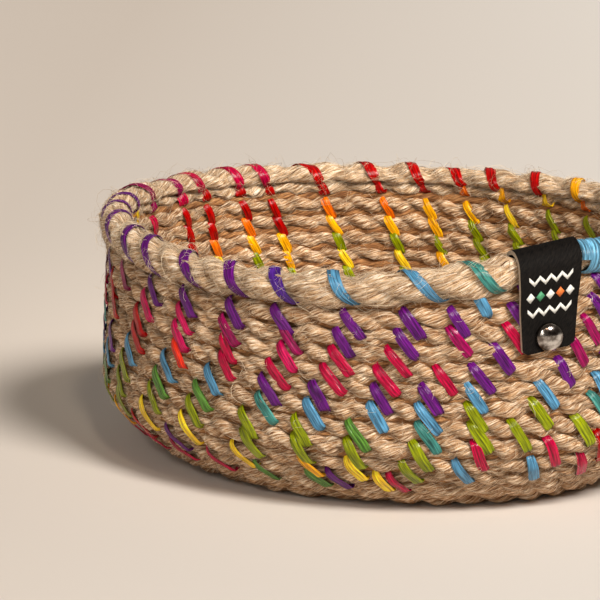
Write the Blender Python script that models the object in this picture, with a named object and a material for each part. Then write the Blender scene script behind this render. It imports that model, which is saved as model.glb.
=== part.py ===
"""Oval coiled basket: a jute rope wound up from the middle of the base to the rim, sewn with bright ribbon.

Units are metres, +Z is up, +X runs along the oval's long axis, and the origin is the middle of the base.
The rope climbs clockwise as seen from above. A turn number counts loops from the middle of the base.
"""

import math

import bmesh
import bpy
import numpy as np

# Rope
ROPE_DEPTH = 0.0071
ROPE_PITCH = 0.0068
ROW_GAP = 0.0006
ROPE_CUT = ROPE_DEPTH / 10
ROPE_END_THICKNESS = 0.0016
ROPE_TAPER_LENGTH = 0.055
FIRST_TURN_SHARE = 0.55
LOOP_POINTS = 24

# Shape of the oval wall, measured at the middle of the rope
RIM_LENGTH = 0.2146
RIM_WIDTH = 0.1710
BASE_FLAT_RADIUS = 0.0675
BELLY_RADIUS = 0.0974
NECK_RADIUS = 0.0952
CORNER_HEIGHT = 0.0246
CORNER_POWER_SHARE = 1.43
RIM_CENTRE_HEIGHT = 0.0880
FRONT_SAG = 0.0070
SAG_ANGLE = math.radians(-87.0)
ROPE_END_ANGLE = math.radians(-52.6)

# Rim roll
RIM_RADIUS = 0.0055
BOUND_RIM_RADIUS = 0.0047
RIM_SEAT_GAP = 0.0006
RIM_OUTSET = 0.0010
RIM_SIDES = 8
RIM_JOINT_GAP = 0.0006
SEAT_BLEND_LENGTH = 0.020

# Ribbon stitches
CLEARANCE = 0.0003
RIBBON_WIDTH = 0.0033
RIBBON_THICKNESS = 0.0005
RIBBON_END_WIDTH = 0.0020
THREAD_HEIGHT = 0.0012
GROOVE_CLEARANCE = 0.00057
STITCHES_PER_TURN = 31
STITCH_LEAN = 0.0062
ROW_DRIFT = 0.0024
BAND_COLOURS = ("purple", "crimson", "violet", "green", "yellow")
RIM_STITCH_LEAN = 0.0130
RIM_STITCH_CORNERS = 6
RIM_THREAD_CORNER = -2
RIM_STITCH_CLEARANCE = 0.00045
RIM_FIRST_COLUMN = 1
RIM_COLOUR_COUNTS = (("blue", 4), ("purple", 7), ("magenta", 4), ("red", 8), ("yellow", 4))

# Ribbon bound round the rim
WRAP_TURNS = 7
WRAP_PITCH = 0.0041
WRAP_WIDTH = 0.0035
WRAP_THICKNESS = 0.00045
WRAP_TURN_POINTS = 10
WRAP_END_GAP = 0.0010

# Tab
TAB_CHORD_SHARE = 1.5
TAB_TOP_WIDTH = 0.0226
TAB_END_WIDTH = 0.0190
TAB_THICKNESS = 0.0015
TAB_DROP = 0.0280
TAB_STANDOFF = 0.0003
TAB_SIDE_GAP = 0.0010
TAB_SLANT_START = 0.0060
TAB_SLANT_HEIGHT = 0.0080
TAB_CORNER_CUT = 0.0020
TAB_FOLD_POINTS = 9

# Rivet
RIVET_ROWS_BELOW_TOP = 3
RIVET_LIFT = 0.0014
RIVET_DOME_RADIUS = 0.00465
RIVET_DOME_HEIGHT = 0.0034
RIVET_EDGE_HEIGHT = 0.0006
RIVET_BACK_RADIUS = 0.0038
RIVET_BACK_HEIGHT = 0.0016
RIVET_SHANK_RADIUS = 0.0013
RIVET_SOCKET_DEPTH = 0.0010
RIVET_SIDES = 20
RIVET_DOME_STEPS = 4
SHANK_SIDES = 12
CUT_OVERRUN = 0.0020

# Sizes that follow from those above
OVAL_X = 2 * RIM_LENGTH / (RIM_LENGTH + RIM_WIDTH)
OVAL_Y = 2 * RIM_WIDTH / (RIM_LENGTH + RIM_WIDTH)
RIM_PATH_RADIUS = (RIM_LENGTH + RIM_WIDTH) / 4
ROPE_RADIUS = ROPE_DEPTH / 2
BASE_CENTRE_HEIGHT = ROPE_RADIUS - ROPE_CUT
TURN_LENGTH = 2 * math.pi * RIM_PATH_RADIUS
PROFILE_SAMPLES = 60
GROOVE_OFFSET = ROPE_RADIUS / 2 + GROOVE_CLEARANCE

COLOURS = {
    "jute": (0.50, 0.34, 0.20, 1.0),
    "rim_jute": (0.56, 0.39, 0.24, 1.0),
    "purple": (0.13, 0.02, 0.32, 1.0),
    "crimson": (0.55, 0.01, 0.10, 1.0),
    "violet": (0.20, 0.04, 0.42, 1.0),
    "green": (0.22, 0.45, 0.04, 1.0),
    "yellow": (0.85, 0.55, 0.02, 1.0),
    "blue": (0.12, 0.38, 0.62, 1.0),
    "magenta": (0.45, 0.02, 0.25, 1.0),
    "red": (0.60, 0.01, 0.01, 1.0),
    "leather": (0.012, 0.012, 0.013, 1.0),
    "chrome": (0.75, 0.74, 0.72, 1.0),
}


def smooth_step(share):
    """0 below 0, 1 above 1, and an even curve between."""
    share = min(max(share, 0.0), 1.0)
    return share * share * (3 - 2 * share)


def wall_profile():
    """Radius, height and length along the wall's section, from the middle of the base up past the rim."""
    angles = np.linspace(0, math.pi / 2, PROFILE_SAMPLES)
    reach = BELLY_RADIUS - BASE_FLAT_RADIUS
    corner_r = BASE_FLAT_RADIUS + reach * np.sin(angles) ** CORNER_POWER_SHARE
    corner_z = CORNER_HEIGHT * (1 - np.cos(angles) ** CORNER_POWER_SHARE)
    wall_top = RIM_CENTRE_HEIGHT + RIM_RADIUS - BASE_CENTRE_HEIGHT
    wall_z = np.linspace(CORNER_HEIGHT, wall_top, PROFILE_SAMPLES)[1:]
    rise = (wall_z - CORNER_HEIGHT) / (wall_top - CORNER_HEIGHT)
    wall_r = BELLY_RADIUS + (NECK_RADIUS - BELLY_RADIUS) * rise * rise * (3 - 2 * rise)
    radius = np.concatenate(([0.0], corner_r, wall_r))
    height = np.concatenate(([0.0], corner_z, wall_z)) + BASE_CENTRE_HEIGHT
    length = np.concatenate(([0.0], np.cumsum(np.hypot(np.diff(radius), np.diff(height)))))
    return radius, height, length


PROFILE_R, PROFILE_Z, PROFILE_LENGTH = wall_profile()
ROWS_TOP_HEIGHT = RIM_CENTRE_HEIGHT - RIM_RADIUS - RIM_SEAT_GAP
LAST_TURN = float(np.interp(ROWS_TOP_HEIGHT, PROFILE_Z[1:], PROFILE_LENGTH[1:])) / ROPE_PITCH
TAPER_TURNS = ROPE_TAPER_LENGTH / TURN_LENGTH
SEAT_BLEND_TURNS = SEAT_BLEND_LENGTH / TURN_LENGTH
TAB_TURN = LAST_TURN - TAB_CHORD_SHARE / LOOP_POINTS


def turn_angle(turn):
    """Angle round the oval at a turn number."""
    return ROPE_END_ANGLE - 2 * math.pi * (turn - LAST_TURN)


def outward(turn):
    """Level unit vector square to the oval."""
    angle = turn_angle(turn)
    normal = np.array([math.cos(angle) / OVAL_X, math.sin(angle) / OVAL_Y, 0.0])
    return normal / np.linalg.norm(normal)


def sag(turn):
    """How far the rim dips at this place."""
    return FRONT_SAG * max(math.cos(turn_angle(turn) - SAG_ANGLE), 0.0) ** 3


def section_point(length, turn):
    """Point of the wall's section at a length along it."""
    radius = float(np.interp(length, PROFILE_LENGTH, PROFILE_R))
    height = float(np.interp(length, PROFILE_LENGTH, PROFILE_Z))
    lift = (height - BASE_CENTRE_HEIGHT) / (RIM_CENTRE_HEIGHT - BASE_CENTRE_HEIGHT)
    angle = turn_angle(turn)
    x = radius * OVAL_X * math.cos(angle)
    y = radius * OVAL_Y * math.sin(angle)
    return np.array([x, y, height - sag(turn) * lift])


def section_along(length, turn):
    """Unit vector up the wall's section, in the upright plane square to the oval."""
    step = ROPE_PITCH / 4
    low = max(length - step, 0.0)
    rise = section_point(length + step, turn) - section_point(low, turn)
    across = outward(turn)
    along = across * rise.dot(across) + np.array([0.0, 0.0, rise[2]])
    return along / np.linalg.norm(along)


def square_to(along, turn):
    """Unit vector out of the wall, square to a vector up its section."""
    across = outward(turn)
    return across * along[2] - np.array([0.0, 0.0, along.dot(across)])


def row_thickness(turn):
    """Height of the row: one pitch, and less where the rope's end tapers out under the rim roll."""
    share = smooth_step((turn - (LAST_TURN - TAPER_TURNS)) / TAPER_TURNS)
    return ROPE_PITCH + (ROPE_END_THICKNESS - ROPE_PITCH) * share


def lower_length(turn):
    """Length along the section at the row's lower edge."""
    return ROPE_PITCH * (turn - 0.5)


def rope_section(turn):
    """Centre, crest direction and the two edges of the rope at a turn number."""
    low_length = max(lower_length(turn), 0.0)
    thickness = row_thickness(turn)
    high_length = lower_length(turn) + thickness
    low_along = section_along(low_length, turn)
    high_along = section_along(high_length, turn)
    low = section_point(low_length, turn) + low_along * ROW_GAP / 2
    high = section_point(high_length, turn) - high_along * ROW_GAP / 2
    radius = ROPE_RADIUS * (0.5 + 0.5 * thickness / ROPE_PITCH)
    low_out = square_to(low_along, turn)
    high_out = square_to(high_along, turn)
    middle_out = low_out + high_out
    middle_out = middle_out / np.linalg.norm(middle_out)
    return {
        "centre": (low + high) / 2,
        "out": middle_out,
        "radius": radius,
        "high": (high + high_out * radius / 2, high - high_out * radius / 2),
        "low": (low + low_out * radius / 2, low - low_out * radius / 2),
    }


def ground_cut(crest, neighbour):
    """Where the edge from a rope's crest to its neighbour meets the floor, or the crest itself."""
    if crest[2] >= 0:
        return crest
    share = crest[2] / (crest[2] - neighbour[2])
    point = crest + (neighbour - crest) * share
    point[2] = 0.0
    return point


def rope_ring(turn):
    """The rope's seven corners: the crest counts twice, and is cut flat where it would pass the floor."""
    section = rope_section(turn)
    crest = section["centre"] + section["out"] * section["radius"]
    inside = section["centre"] - section["out"] * section["radius"]
    high_out, high_in = section["high"]
    low_out, low_in = section["low"]
    upper = [ground_cut(crest, high_out), high_out, high_in]
    return upper + [inside, low_in, low_out, ground_cut(crest, low_out)]


def rope_turns():
    """Turn numbers of the rope's rings, counted back from its end."""
    count = int((LAST_TURN - FIRST_TURN_SHARE) * LOOP_POINTS)
    return [LAST_TURN - index / LOOP_POINTS for index in range(count, -1, -1)]


def on_chord(rule, turn):
    """A point that follows the straight stretches between the rope's rings."""
    place = (turn - LAST_TURN) * LOOP_POINTS
    step = math.floor(place)
    first = rule(LAST_TURN + step / LOOP_POINTS)
    second = rule(LAST_TURN + (step + 1) / LOOP_POINTS)
    return first + (second - first) * (place - step)


def rim_seat(turn):
    """Length along the section of what the rim roll lies on, for a turn in the last loop."""
    start = LAST_TURN - 1
    spare = ROPE_END_THICKNESS * (1 - smooth_step((turn - start) / SEAT_BLEND_TURNS))
    return lower_length(turn) + row_thickness(turn) + spare


def rim_centre(turn):
    """Middle of the rim roll at any turn number; it closes on itself after one turn."""
    in_loop = LAST_TURN - 1 + (turn - LAST_TURN) % 1.0
    seat = rim_seat(in_loop)
    along = section_along(seat, in_loop)
    lift = along * (RIM_SEAT_GAP + RIM_RADIUS)
    return section_point(seat, in_loop) + lift + outward(in_loop) * RIM_OUTSET


def rim_radius(turn):
    """Radius of the rim roll, drawn in where the ribbon binds it."""
    middle = wrap_start_turn() - WRAP_TURNS * WRAP_PITCH / TURN_LENGTH / 2
    offset = abs((turn - middle + 0.5) % 1.0 - 0.5) * TURN_LENGTH
    half = WRAP_TURNS * WRAP_PITCH / 2 + WRAP_PITCH
    share = smooth_step((offset - half) / RIM_RADIUS)
    return BOUND_RIM_RADIUS + (RIM_RADIUS - BOUND_RIM_RADIUS) * share


def wrap_start_turn():
    """Turn number where the binding starts, just past the tab."""
    return TAB_TURN - (TAB_TOP_WIDTH / 2 + WRAP_END_GAP + WRAP_WIDTH / 2) / TURN_LENGTH


def material(name, roughness, metallic=0.0):
    """One Principled material for each colour name."""
    made = bpy.data.materials.get(name)
    if made is None:
        made = bpy.data.materials.new(name)
        made.use_nodes = True
        shader = made.node_tree.nodes["Principled BSDF"]
        shader.inputs["Base Color"].default_value = COLOURS[name]
        shader.inputs["Roughness"].default_value = roughness
        shader.inputs["Metallic"].default_value = metallic
    return made


def add_object(name, points, faces, finish, smooth_angle=math.radians(35)):
    """A mesh object whose faces point out."""
    mesh = bpy.data.meshes.new(name)
    mesh.from_pydata([tuple(point) for point in points], [], faces)
    work = bmesh.new()
    work.from_mesh(mesh)
    bmesh.ops.recalc_face_normals(work, faces=work.faces)
    bmesh.ops.triangulate(work, faces=work.faces)
    work.to_mesh(mesh)
    work.free()
    mesh.materials.append(finish)
    mesh.shade_smooth()
    mesh.set_sharp_from_angle(angle=smooth_angle)
    made = bpy.data.objects.new(name, mesh)
    bpy.context.scene.collection.objects.link(made)
    return made


def sweep(rings):
    """Points and faces of a tube through rings of equal count; equal neighbours in a ring share a point."""
    points = []
    numbered = []
    for ring in rings:
        numbers = []
        for index, point in enumerate(ring):
            same_as_first = index == len(ring) - 1 and np.allclose(point, ring[0], atol=1e-9)
            if same_as_first:
                numbers.append(numbers[0])
            else:
                numbers.append(len(points))
                points.append(point)
        numbered.append(numbers)
    faces = []
    for first, second in zip(numbered, numbered[1:]):
        count = len(first)
        for index in range(count):
            after = (index + 1) % count
            corners = []
            for corner in (first[index], first[after], second[after], second[index]):
                if corner not in corners:
                    corners.append(corner)
            if len(corners) > 2:
                faces.append(corners)
    for end in (numbered[0], numbered[-1]):
        cap = [corner for index, corner in enumerate(end) if corner not in end[:index]]
        faces.append(cap)
    return points, faces


def least_gap(rings, skip):
    """Least distance between points of a tube that lie more than skip rings apart along it."""
    points = np.array([point for ring in rings for point in ring])
    order = np.repeat(np.arange(len(rings)), len(rings[0]))
    least = math.inf
    for index in range(len(rings)):
        here = points[order == index]
        there = points[order > index + skip]
        if len(there):
            distance = np.linalg.norm(here[:, None, :] - there[None, :, :], axis=2)
            least = min(least, float(distance.min()))
    return least


def make_rope():
    """The rope from the middle of the base to its tapered end under the rim roll."""
    rings = [rope_ring(turn) for turn in rope_turns()]
    gap = least_gap(rings, LOOP_POINTS // 2)
    print(f"rope: {LAST_TURN - FIRST_TURN_SHARE:.1f} loops, least gap to itself {gap * 1000:.2f} mm")
    points, faces = sweep(rings)
    return add_object("coiled_rope", points, faces, material("jute", 0.9))


def make_rim_roll():
    """The thick roll of jute along the top edge, its two ends meeting under the tab."""
    half_joint = RIM_JOINT_GAP / 2 / TURN_LENGTH
    turns = [TAB_TURN - 1 + half_joint]
    first_ring = math.floor((TAB_TURN - 1 - LAST_TURN) * LOOP_POINTS) + 1
    turns += [LAST_TURN + (first_ring + index) / LOOP_POINTS for index in range(LOOP_POINTS)]
    turns.append(TAB_TURN - half_joint)
    bound = wrap_start_turn() + WRAP_PITCH / TURN_LENGTH
    freed = wrap_start_turn() - (WRAP_TURNS + 1) * WRAP_PITCH / TURN_LENGTH
    taper = RIM_RADIUS / TURN_LENGTH
    turns += [bound, bound + taper, freed, freed - taper]
    turns = sorted(turn for turn in turns if TAB_TURN - 1 < turn < TAB_TURN)
    rings = []
    for turn in turns:
        centre = on_chord(rim_centre, turn)
        across = outward(turn)
        ring = []
        for side in range(RIM_SIDES):
            angle = corner_angle(side)
            spoke = across * math.cos(angle) + np.array([0.0, 0.0, math.sin(angle)])
            ring.append(centre + spoke * rim_radius(turn))
        rings.append(ring)
    points, faces = sweep(rings)
    return add_object("rim_roll", points, faces, material("rim_jute", 0.9))


def valley_line(offset, lift):
    """Rule for a line in the groove at a row's lower edge, off the wall by offset and up it by lift."""

    def rule(turn):
        length = lower_length(turn)
        along = section_along(length, turn)
        return section_point(length, turn) + square_to(along, turn) * offset + along * lift

    return rule


def crest_line(offset):
    """Rule for a line along the rope's crest, off it by offset."""

    def rule(turn):
        section = rope_section(turn)
        return section["centre"] + section["out"] * (section["radius"] + offset)

    return rule


class Comb:
    """A ribbon: a thread along a groove, and a stitch across the row beside it at each tooth."""

    def __init__(self, rules):
        self.rules = rules
        self.points = []
        self.faces = []

    def put(self, point):
        self.points.append(point)
        return len(self.points) - 1

    def thread_ring(self, turn):
        """Numbers of the thread's high edge, low edge and ridge."""
        return [self.put(on_chord(rule, turn)) for rule in self.rules]

    def tooth(self, start, end, side, sections, tip):
        """A stitch that leaves the thread between two rings, through sections of left, right and ridge."""
        left, right = start[side], end[side]
        ridge_left, ridge_right = start[2], end[2]
        first_left, first_right, first_ridge = [self.put(point) for point in sections[0]]
        self.faces += [
            (left, right, first_right, first_left),
            (ridge_left, ridge_right, first_ridge),
            (ridge_left, first_ridge, first_left),
            (ridge_right, first_right, first_ridge),
            (left, ridge_left, first_left),
            (right, first_right, ridge_right),
        ]
        last = (first_left, first_right, first_ridge)
        for section in sections[1:]:
            new = [self.put(point) for point in section]
            self.faces += [
                (last[0], last[1], new[1], new[0]),
                (last[0], new[0], new[2], last[2]),
                (last[1], last[2], new[2], new[1]),
            ]
            last = new
        tip_left, tip_right = [self.put(point) for point in tip]
        self.faces += [
            (last[0], last[1], tip_right, tip_left),
            (last[0], tip_left, last[2]),
            (tip_left, tip_right, last[2]),
            (tip_right, last[1], last[2]),
        ]

    def build(self, name, turns, teeth, finish):
        """Thread through the sorted turn numbers; teeth maps a ring's place to its side, sections and tip."""
        rings = [self.thread_ring(turn) for turn in turns]
        for place in range(len(rings) - 1):
            start, end = rings[place], rings[place + 1]
            self.faces.append((start[0], end[0], end[1], start[1]))
            tooth_side, sections, tip = teeth.get(place, (None, None, None))
            for side in (0, 1):
                if side == tooth_side:
                    self.tooth(start, end, side, sections, tip)
                else:
                    self.faces.append((start[side], start[2], end[2], end[side]))
        for end in (rings[0], rings[-1]):
            self.faces.append(tuple(end))
        return add_object(name, self.points, self.faces, finish)


def chord_turns(start, end, busy):
    """Ring places of the rope between two turn numbers, apart from those inside a busy stretch."""
    first = math.ceil((start - LAST_TURN) * LOOP_POINTS)
    last = math.floor((end - LAST_TURN) * LOOP_POINTS)
    found = []
    for step in range(first, last + 1):
        turn = LAST_TURN + step / LOOP_POINTS
        margin = CLEARANCE / TURN_LENGTH
        if start + margin < turn < end - margin and not any(a - margin < turn < b + margin for a, b in busy):
            found.append(turn)
    return found


def further(turn, distance):
    """Turn number at a distance further along the row."""
    radius = np.linalg.norm(section_point(lower_length(turn), turn)[:2])
    return turn + distance / (2 * math.pi * radius)


def wall_tooth(number, column, side):
    """Turn numbers where a stitch leaves the groove, crosses the crest of its row and ends."""
    drift = (2 * number + side) * ROW_DRIFT / TURN_LENGTH
    share = ((column + 0.5) / STITCHES_PER_TURN + drift) % 1.0
    top = TAB_TURN - 1 - 2 * number + share
    low = further(top, -STITCH_LEAN)
    middle = further(top, -STITCH_LEAN / 2)
    if side == 0:
        return low, middle, top + 1
    return top, middle - 1, low - 1


def wall_stitch(side, crest, tip):
    """Section of a stitch on the crest of its row, and its two end points in the next groove."""
    half = RIBBON_WIDTH / 2
    end_half = RIBBON_END_WIDTH / 2
    back = crest_line(CLEARANCE)
    ridge = on_chord(crest_line(CLEARANCE + RIBBON_THICKNESS), crest)
    section = (on_chord(back, further(crest, -half)), on_chord(back, further(crest, half)), ridge)
    lift = THREAD_HEIGHT / 2 if side else -THREAD_HEIGHT / 2
    edge = valley_line(GROOVE_OFFSET, lift)
    ends = (on_chord(edge, further(tip, -end_half)), on_chord(edge, further(tip, end_half)))
    return side, [section], ends


def make_wall_band(number, colour):
    """A ribbon in a groove, sewn up over the row above it and down over the row below it."""
    margin = (RIVET_DOME_RADIUS + RIBBON_WIDTH) / TURN_LENGTH
    start = TAB_TURN - 1 - 2 * number + margin
    end = TAB_TURN - 2 * number - margin
    found = {}
    for column in range(STITCHES_PER_TURN):
        for side in (0, 1):
            base, crest, tip = wall_tooth(number, column, side)
            reach = {base, tip - 1 if side == 0 else tip + 1}
            if further(min(reach), -RIBBON_WIDTH) > start and further(max(reach), RIBBON_WIDTH) < end:
                found[base] = wall_stitch(side, crest, tip)
    return comb_object(
        f"wall_stitches_{colour}",
        (
            valley_line(GROOVE_OFFSET, THREAD_HEIGHT / 2),
            valley_line(GROOVE_OFFSET, -THREAD_HEIGHT / 2),
            valley_line(GROOVE_OFFSET + RIBBON_THICKNESS, 0.0),
        ),
        (start, end),
        found,
        colour,
    )


def comb_object(name, rules, span, found, colour):
    """A ribbon from one turn number to another, with the stitches found at their turn numbers."""
    half = RIBBON_END_WIDTH / 2
    busy = [(further(base, -half), further(base, half)) for base in sorted(found)]
    start, end = span
    turns = sorted([start, end] + [turn for pair in busy for turn in pair] + chord_turns(start, end, busy))
    teeth = {turns.index(pair[0]): found[base] for pair, base in zip(busy, sorted(found))}
    return Comb(rules).build(name, turns, teeth, material(colour, 0.35))


def rim_line(radius, angle):
    """Rule for a line along the rim roll, at a radius from its middle and an angle up from outward."""

    def rule(turn):
        shift = outward(turn) * math.cos(angle) + np.array([0.0, 0.0, math.sin(angle)])
        return rim_centre(turn) + shift * radius

    return rule


def corner_angle(corner):
    """Angle of one of the rim roll's corners, counted up from the level outward."""
    return 2 * math.pi * (corner + 0.5) / RIM_SIDES


def rim_stitch(base):
    """Sections of a stitch that climbs over the rim roll's corners, and its two end points inside."""
    radius = RIM_RADIUS + RIM_STITCH_CLEARANCE
    sections = []
    for step in range(1, RIM_STITCH_CORNERS + 1):
        half = RIBBON_WIDTH / 2 if step < RIM_STITCH_CORNERS else RIBBON_END_WIDTH / 2
        angle = corner_angle(RIM_THREAD_CORNER + step)
        turn = further(base, RIM_STITCH_LEAN * step / RIM_STITCH_CORNERS)
        side = rim_line(radius, angle)
        ridge = on_chord(rim_line(radius + RIBBON_THICKNESS, angle), turn)
        sections.append((on_chord(side, further(turn, -half)), on_chord(side, further(turn, half)), ridge))
    return 0, sections[:-1], sections[-1][:2]


def make_rim_stitches():
    """Ribbons in the groove under the rim roll, one for each colour, sewn over the roll."""
    angle = corner_angle(RIM_THREAD_CORNER)
    near = RIM_RADIUS + CLEARANCE
    rules = (
        rim_line(near, angle),
        rim_line(near + THREAD_HEIGHT, angle),
        rim_line(near + THREAD_HEIGHT / 2, angle + RIBBON_THICKNESS / RIM_RADIUS),
    )
    joint = RIM_JOINT_GAP / TURN_LENGTH
    start = TAB_TURN - 1 + RIM_FIRST_COLUMN / STITCHES_PER_TURN
    for colour, count in RIM_COLOUR_COUNTS:
        end = start + count / STITCHES_PER_TURN
        bases = [start + (column + 0.5) / STITCHES_PER_TURN for column in range(count)]
        found = {base: rim_stitch(base) for base in bases}
        comb_object(f"rim_stitches_{colour}", rules, (start + joint, end - joint), found, colour)
        start = end


def make_wrap():
    """The blue ribbon wound tightly round the rim roll beside the tab."""
    inner = (BOUND_RIM_RADIUS + CLEARANCE) / math.cos(math.pi / WRAP_TURN_POINTS)
    half = WRAP_WIDTH / 2 / TURN_LENGTH
    rings = []
    for index in range(WRAP_TURNS * WRAP_TURN_POINTS + 1):
        wound = index / WRAP_TURN_POINTS
        turn = wrap_start_turn() - wound * WRAP_PITCH / TURN_LENGTH
        angle = 2 * math.pi * wound
        near = rim_line(inner, angle)
        far = rim_line(inner + WRAP_THICKNESS, angle)
        corners = ((near, -half), (near, half), (far, half), (far, -half))
        rings.append([on_chord(rule, turn + shift) for rule, shift in corners])
    points, faces = sweep(rings)
    return add_object("rim_wrap_ribbon", points, faces, material("blue", 0.3))


def tab_frame():
    """Middle of the rim roll under the tab, the level way out of it, and the way along it."""
    half_chord = 0.5 / LOOP_POINTS
    start = rim_centre(TAB_TURN - half_chord)
    end = rim_centre(TAB_TURN + half_chord)
    along = (end - start) / np.linalg.norm(end - start)
    out = np.array([-along[1], along[0], 0.0])
    out = out / np.linalg.norm(out)
    if out.dot(outward(TAB_TURN)) < 0:
        out = -out
    return (start + end) / 2, out, along


def leg_offset(side):
    """How far the tab's lining lies from the roll's middle, clear of the rope in front (1) or inside (-1)."""
    middle, out, _ = tab_frame()
    half_chord = 0.5 / LOOP_POINTS
    reach = []
    for row in range(math.ceil((TAB_DROP - RIM_RADIUS) / ROPE_PITCH)):
        for turn in (TAB_TURN - row - half_chord, TAB_TURN - row, TAB_TURN - row + half_chord):
            section = rope_section(turn)
            reach.append(side * (section["centre"] - middle).dot(out) + section["radius"])
    return max(reach) + TAB_STANDOFF


def tab_leg(side, offset, fold):
    """Outline of one of the tab's legs from its end up to the fold, as distances out of the roll and up."""
    leg = leg_offset(side) + offset
    slant_end = TAB_SLANT_START + TAB_SLANT_HEIGHT
    return [(leg, -TAB_DROP), (leg, TAB_CORNER_CUT - TAB_DROP), (leg, -slant_end), (fold, -TAB_SLANT_START)]


def tab_path(offset):
    """Outline of the folded tab from its front end over the roll to its back end, off its lining."""
    fold = (RIM_RADIUS + CLEARANCE) / math.cos(math.pi / 2 / (TAB_FOLD_POINTS - 1)) + offset
    angles = [math.pi * index / (TAB_FOLD_POINTS - 1) for index in range(TAB_FOLD_POINTS)]
    arc = [(fold * math.cos(angle), fold * math.sin(angle)) for angle in angles]
    back = [(-out, up) for out, up in reversed(tab_leg(-1, offset, fold))]
    return tab_leg(1, offset, fold) + arc + back


def tab_half_width(place, count):
    """Half the tab's width at a place on its path."""
    from_end = min(place, count - 1 - place)
    if from_end == 0:
        return TAB_END_WIDTH / 2 - TAB_CORNER_CUT
    if from_end == 1:
        return TAB_END_WIDTH / 2
    if from_end == 2:
        level = (TAB_SLANT_START + TAB_SLANT_HEIGHT) / TAB_DROP
        return (TAB_TOP_WIDTH + (TAB_END_WIDTH - TAB_TOP_WIDTH) * level) / 2
    return TAB_TOP_WIDTH / 2


def make_tab():
    """The black strap folded over the rim roll, with a hole for the rivet in both legs."""
    middle, out, along = tab_frame()
    lining = tab_path(0.0)
    face = tab_path(TAB_THICKNESS)
    rings = []
    for place in range(len(lining)):
        half = tab_half_width(place, len(lining))
        ring = []
        for (offset, up), sides in ((lining[place], (-1, 1)), (face[place], (1, -1))):
            for side in sides:
                ring.append(middle + out * offset + np.array([0.0, 0.0, up]) + along * half * side)
        rings.append(ring)
    points, faces = sweep(rings)
    return add_object("tab_strap", points, faces, material("leather", 0.6))


def shank_frame():
    """Where the rivet crosses the tab's middle plane, its way out of the basket, and the level way along."""
    middle, out, along = tab_frame()
    groove = on_chord(valley_line(0.0, 0.0), TAB_TURN + 1 - RIVET_ROWS_BELOW_TOP)
    level = np.array([-out[1], out[0], 0.0])
    return np.array([middle[0], middle[1], groove[2] + RIVET_LIFT]), out, level


def turned(name, profile, sides):
    """A round piece about the rivet's axis, from pairs of distance along it and radius."""
    middle, out, level = shank_frame()
    upward = np.array([0.0, 0.0, 1.0])
    points = []
    faces = []
    rows = []
    for distance, radius in profile:
        centre = middle + out * distance
        if radius == 0:
            rows.append([len(points)] * sides)
            points.append(centre)
            continue
        rows.append(list(range(len(points), len(points) + sides)))
        for side in range(sides):
            angle = 2 * math.pi * side / sides
            points.append(centre + (level * math.cos(angle) + upward * math.sin(angle)) * radius)
    for first, second in zip(rows, rows[1:]):
        for side in range(sides):
            after = (side + 1) % sides
            corners = []
            for corner in (first[side], first[after], second[after], second[side]):
                if corner not in corners:
                    corners.append(corner)
            if len(corners) > 2:
                faces.append(corners)
    return add_object(name, points, faces, material("chrome", 0.2, 1.0))


def socket(base, depth):
    """Profile of a blind hole for the rivet's shank, from its floor to its mouth."""
    radius = RIVET_SHANK_RADIUS + CLEARANCE
    return [(base + depth, 0.0), (base + depth, radius), (base, radius)]


def rivet_seat(side):
    """Distance from the roll's middle to the rivet's cap (side 1) or back plate (side -1)."""
    return leg_offset(side) + TAB_THICKNESS + CLEARANCE


def make_rivet():
    """The domed cap in front, the plate inside the basket and the shank between them."""
    front = rivet_seat(1)
    back = -rivet_seat(-1)
    dome = []
    for index in range(RIVET_DOME_STEPS + 1):
        angle = math.pi / 2 * index / RIVET_DOME_STEPS
        rise = (RIVET_DOME_HEIGHT - RIVET_EDGE_HEIGHT) * math.sin(angle)
        radius = RIVET_DOME_RADIUS * math.cos(angle) if index < RIVET_DOME_STEPS else 0.0
        dome.append((front + RIVET_EDGE_HEIGHT + rise, radius))
    turned("rivet_cap", socket(front, RIVET_SOCKET_DEPTH) + [(front, RIVET_DOME_RADIUS)] + dome, RIVET_SIDES)
    plate = [(back, RIVET_BACK_RADIUS)]
    plate += [(back - RIVET_BACK_HEIGHT, RIVET_BACK_RADIUS), (back - RIVET_BACK_HEIGHT, 0.0)]
    turned("rivet_back_plate", socket(back, -RIVET_SOCKET_DEPTH) + plate, RIVET_SIDES)
    turned("rivet_shank", bar(RIVET_SHANK_RADIUS, RIVET_SOCKET_DEPTH - CLEARANCE), SHANK_SIDES)


def bar(radius, overrun):
    """Profile of a round bar along the rivet's axis that runs past both of its seats."""
    front = rivet_seat(1) + overrun
    back = -rivet_seat(-1) - overrun
    return [(back, 0.0), (back, radius), (front, radius), (front, 0.0)]


def make_hole_cutter():
    """A round bar that opens the way for the rivet's shank."""
    profile = bar(RIVET_SHANK_RADIUS + CLEARANCE, CUT_OVERRUN)
    cutter = turned("rivet_hole_cutter", profile, SHANK_SIDES)
    cutter.hide_render = True
    cutter.display_type = "WIRE"
    return cutter


def cut_with(body, cutter):
    """Take the cutter out of the body."""
    cut = body.modifiers.new("Cut", "BOOLEAN")
    cut.operation = "DIFFERENCE"
    cut.solver = "EXACT"
    cut.object = cutter


def main():
    """Build the basket."""
    for thing in list(bpy.data.objects):
        bpy.data.objects.remove(thing)
    cutter = make_hole_cutter()
    cut_with(make_rope(), cutter)
    make_rim_roll()
    for number, colour in enumerate(BAND_COLOURS):
        make_wall_band(number, colour)
    make_rim_stitches()
    make_wrap()
    cut_with(make_tab(), cutter)
    make_rivet()


main()
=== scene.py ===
"""Looks of the oval coiled basket: jute rope, ribbon stitches, a bound rim and a riveted strap tab.

In metres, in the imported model's frame: +Z up, +X along the oval's long axis, origin on the base.
"""

import math

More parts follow.
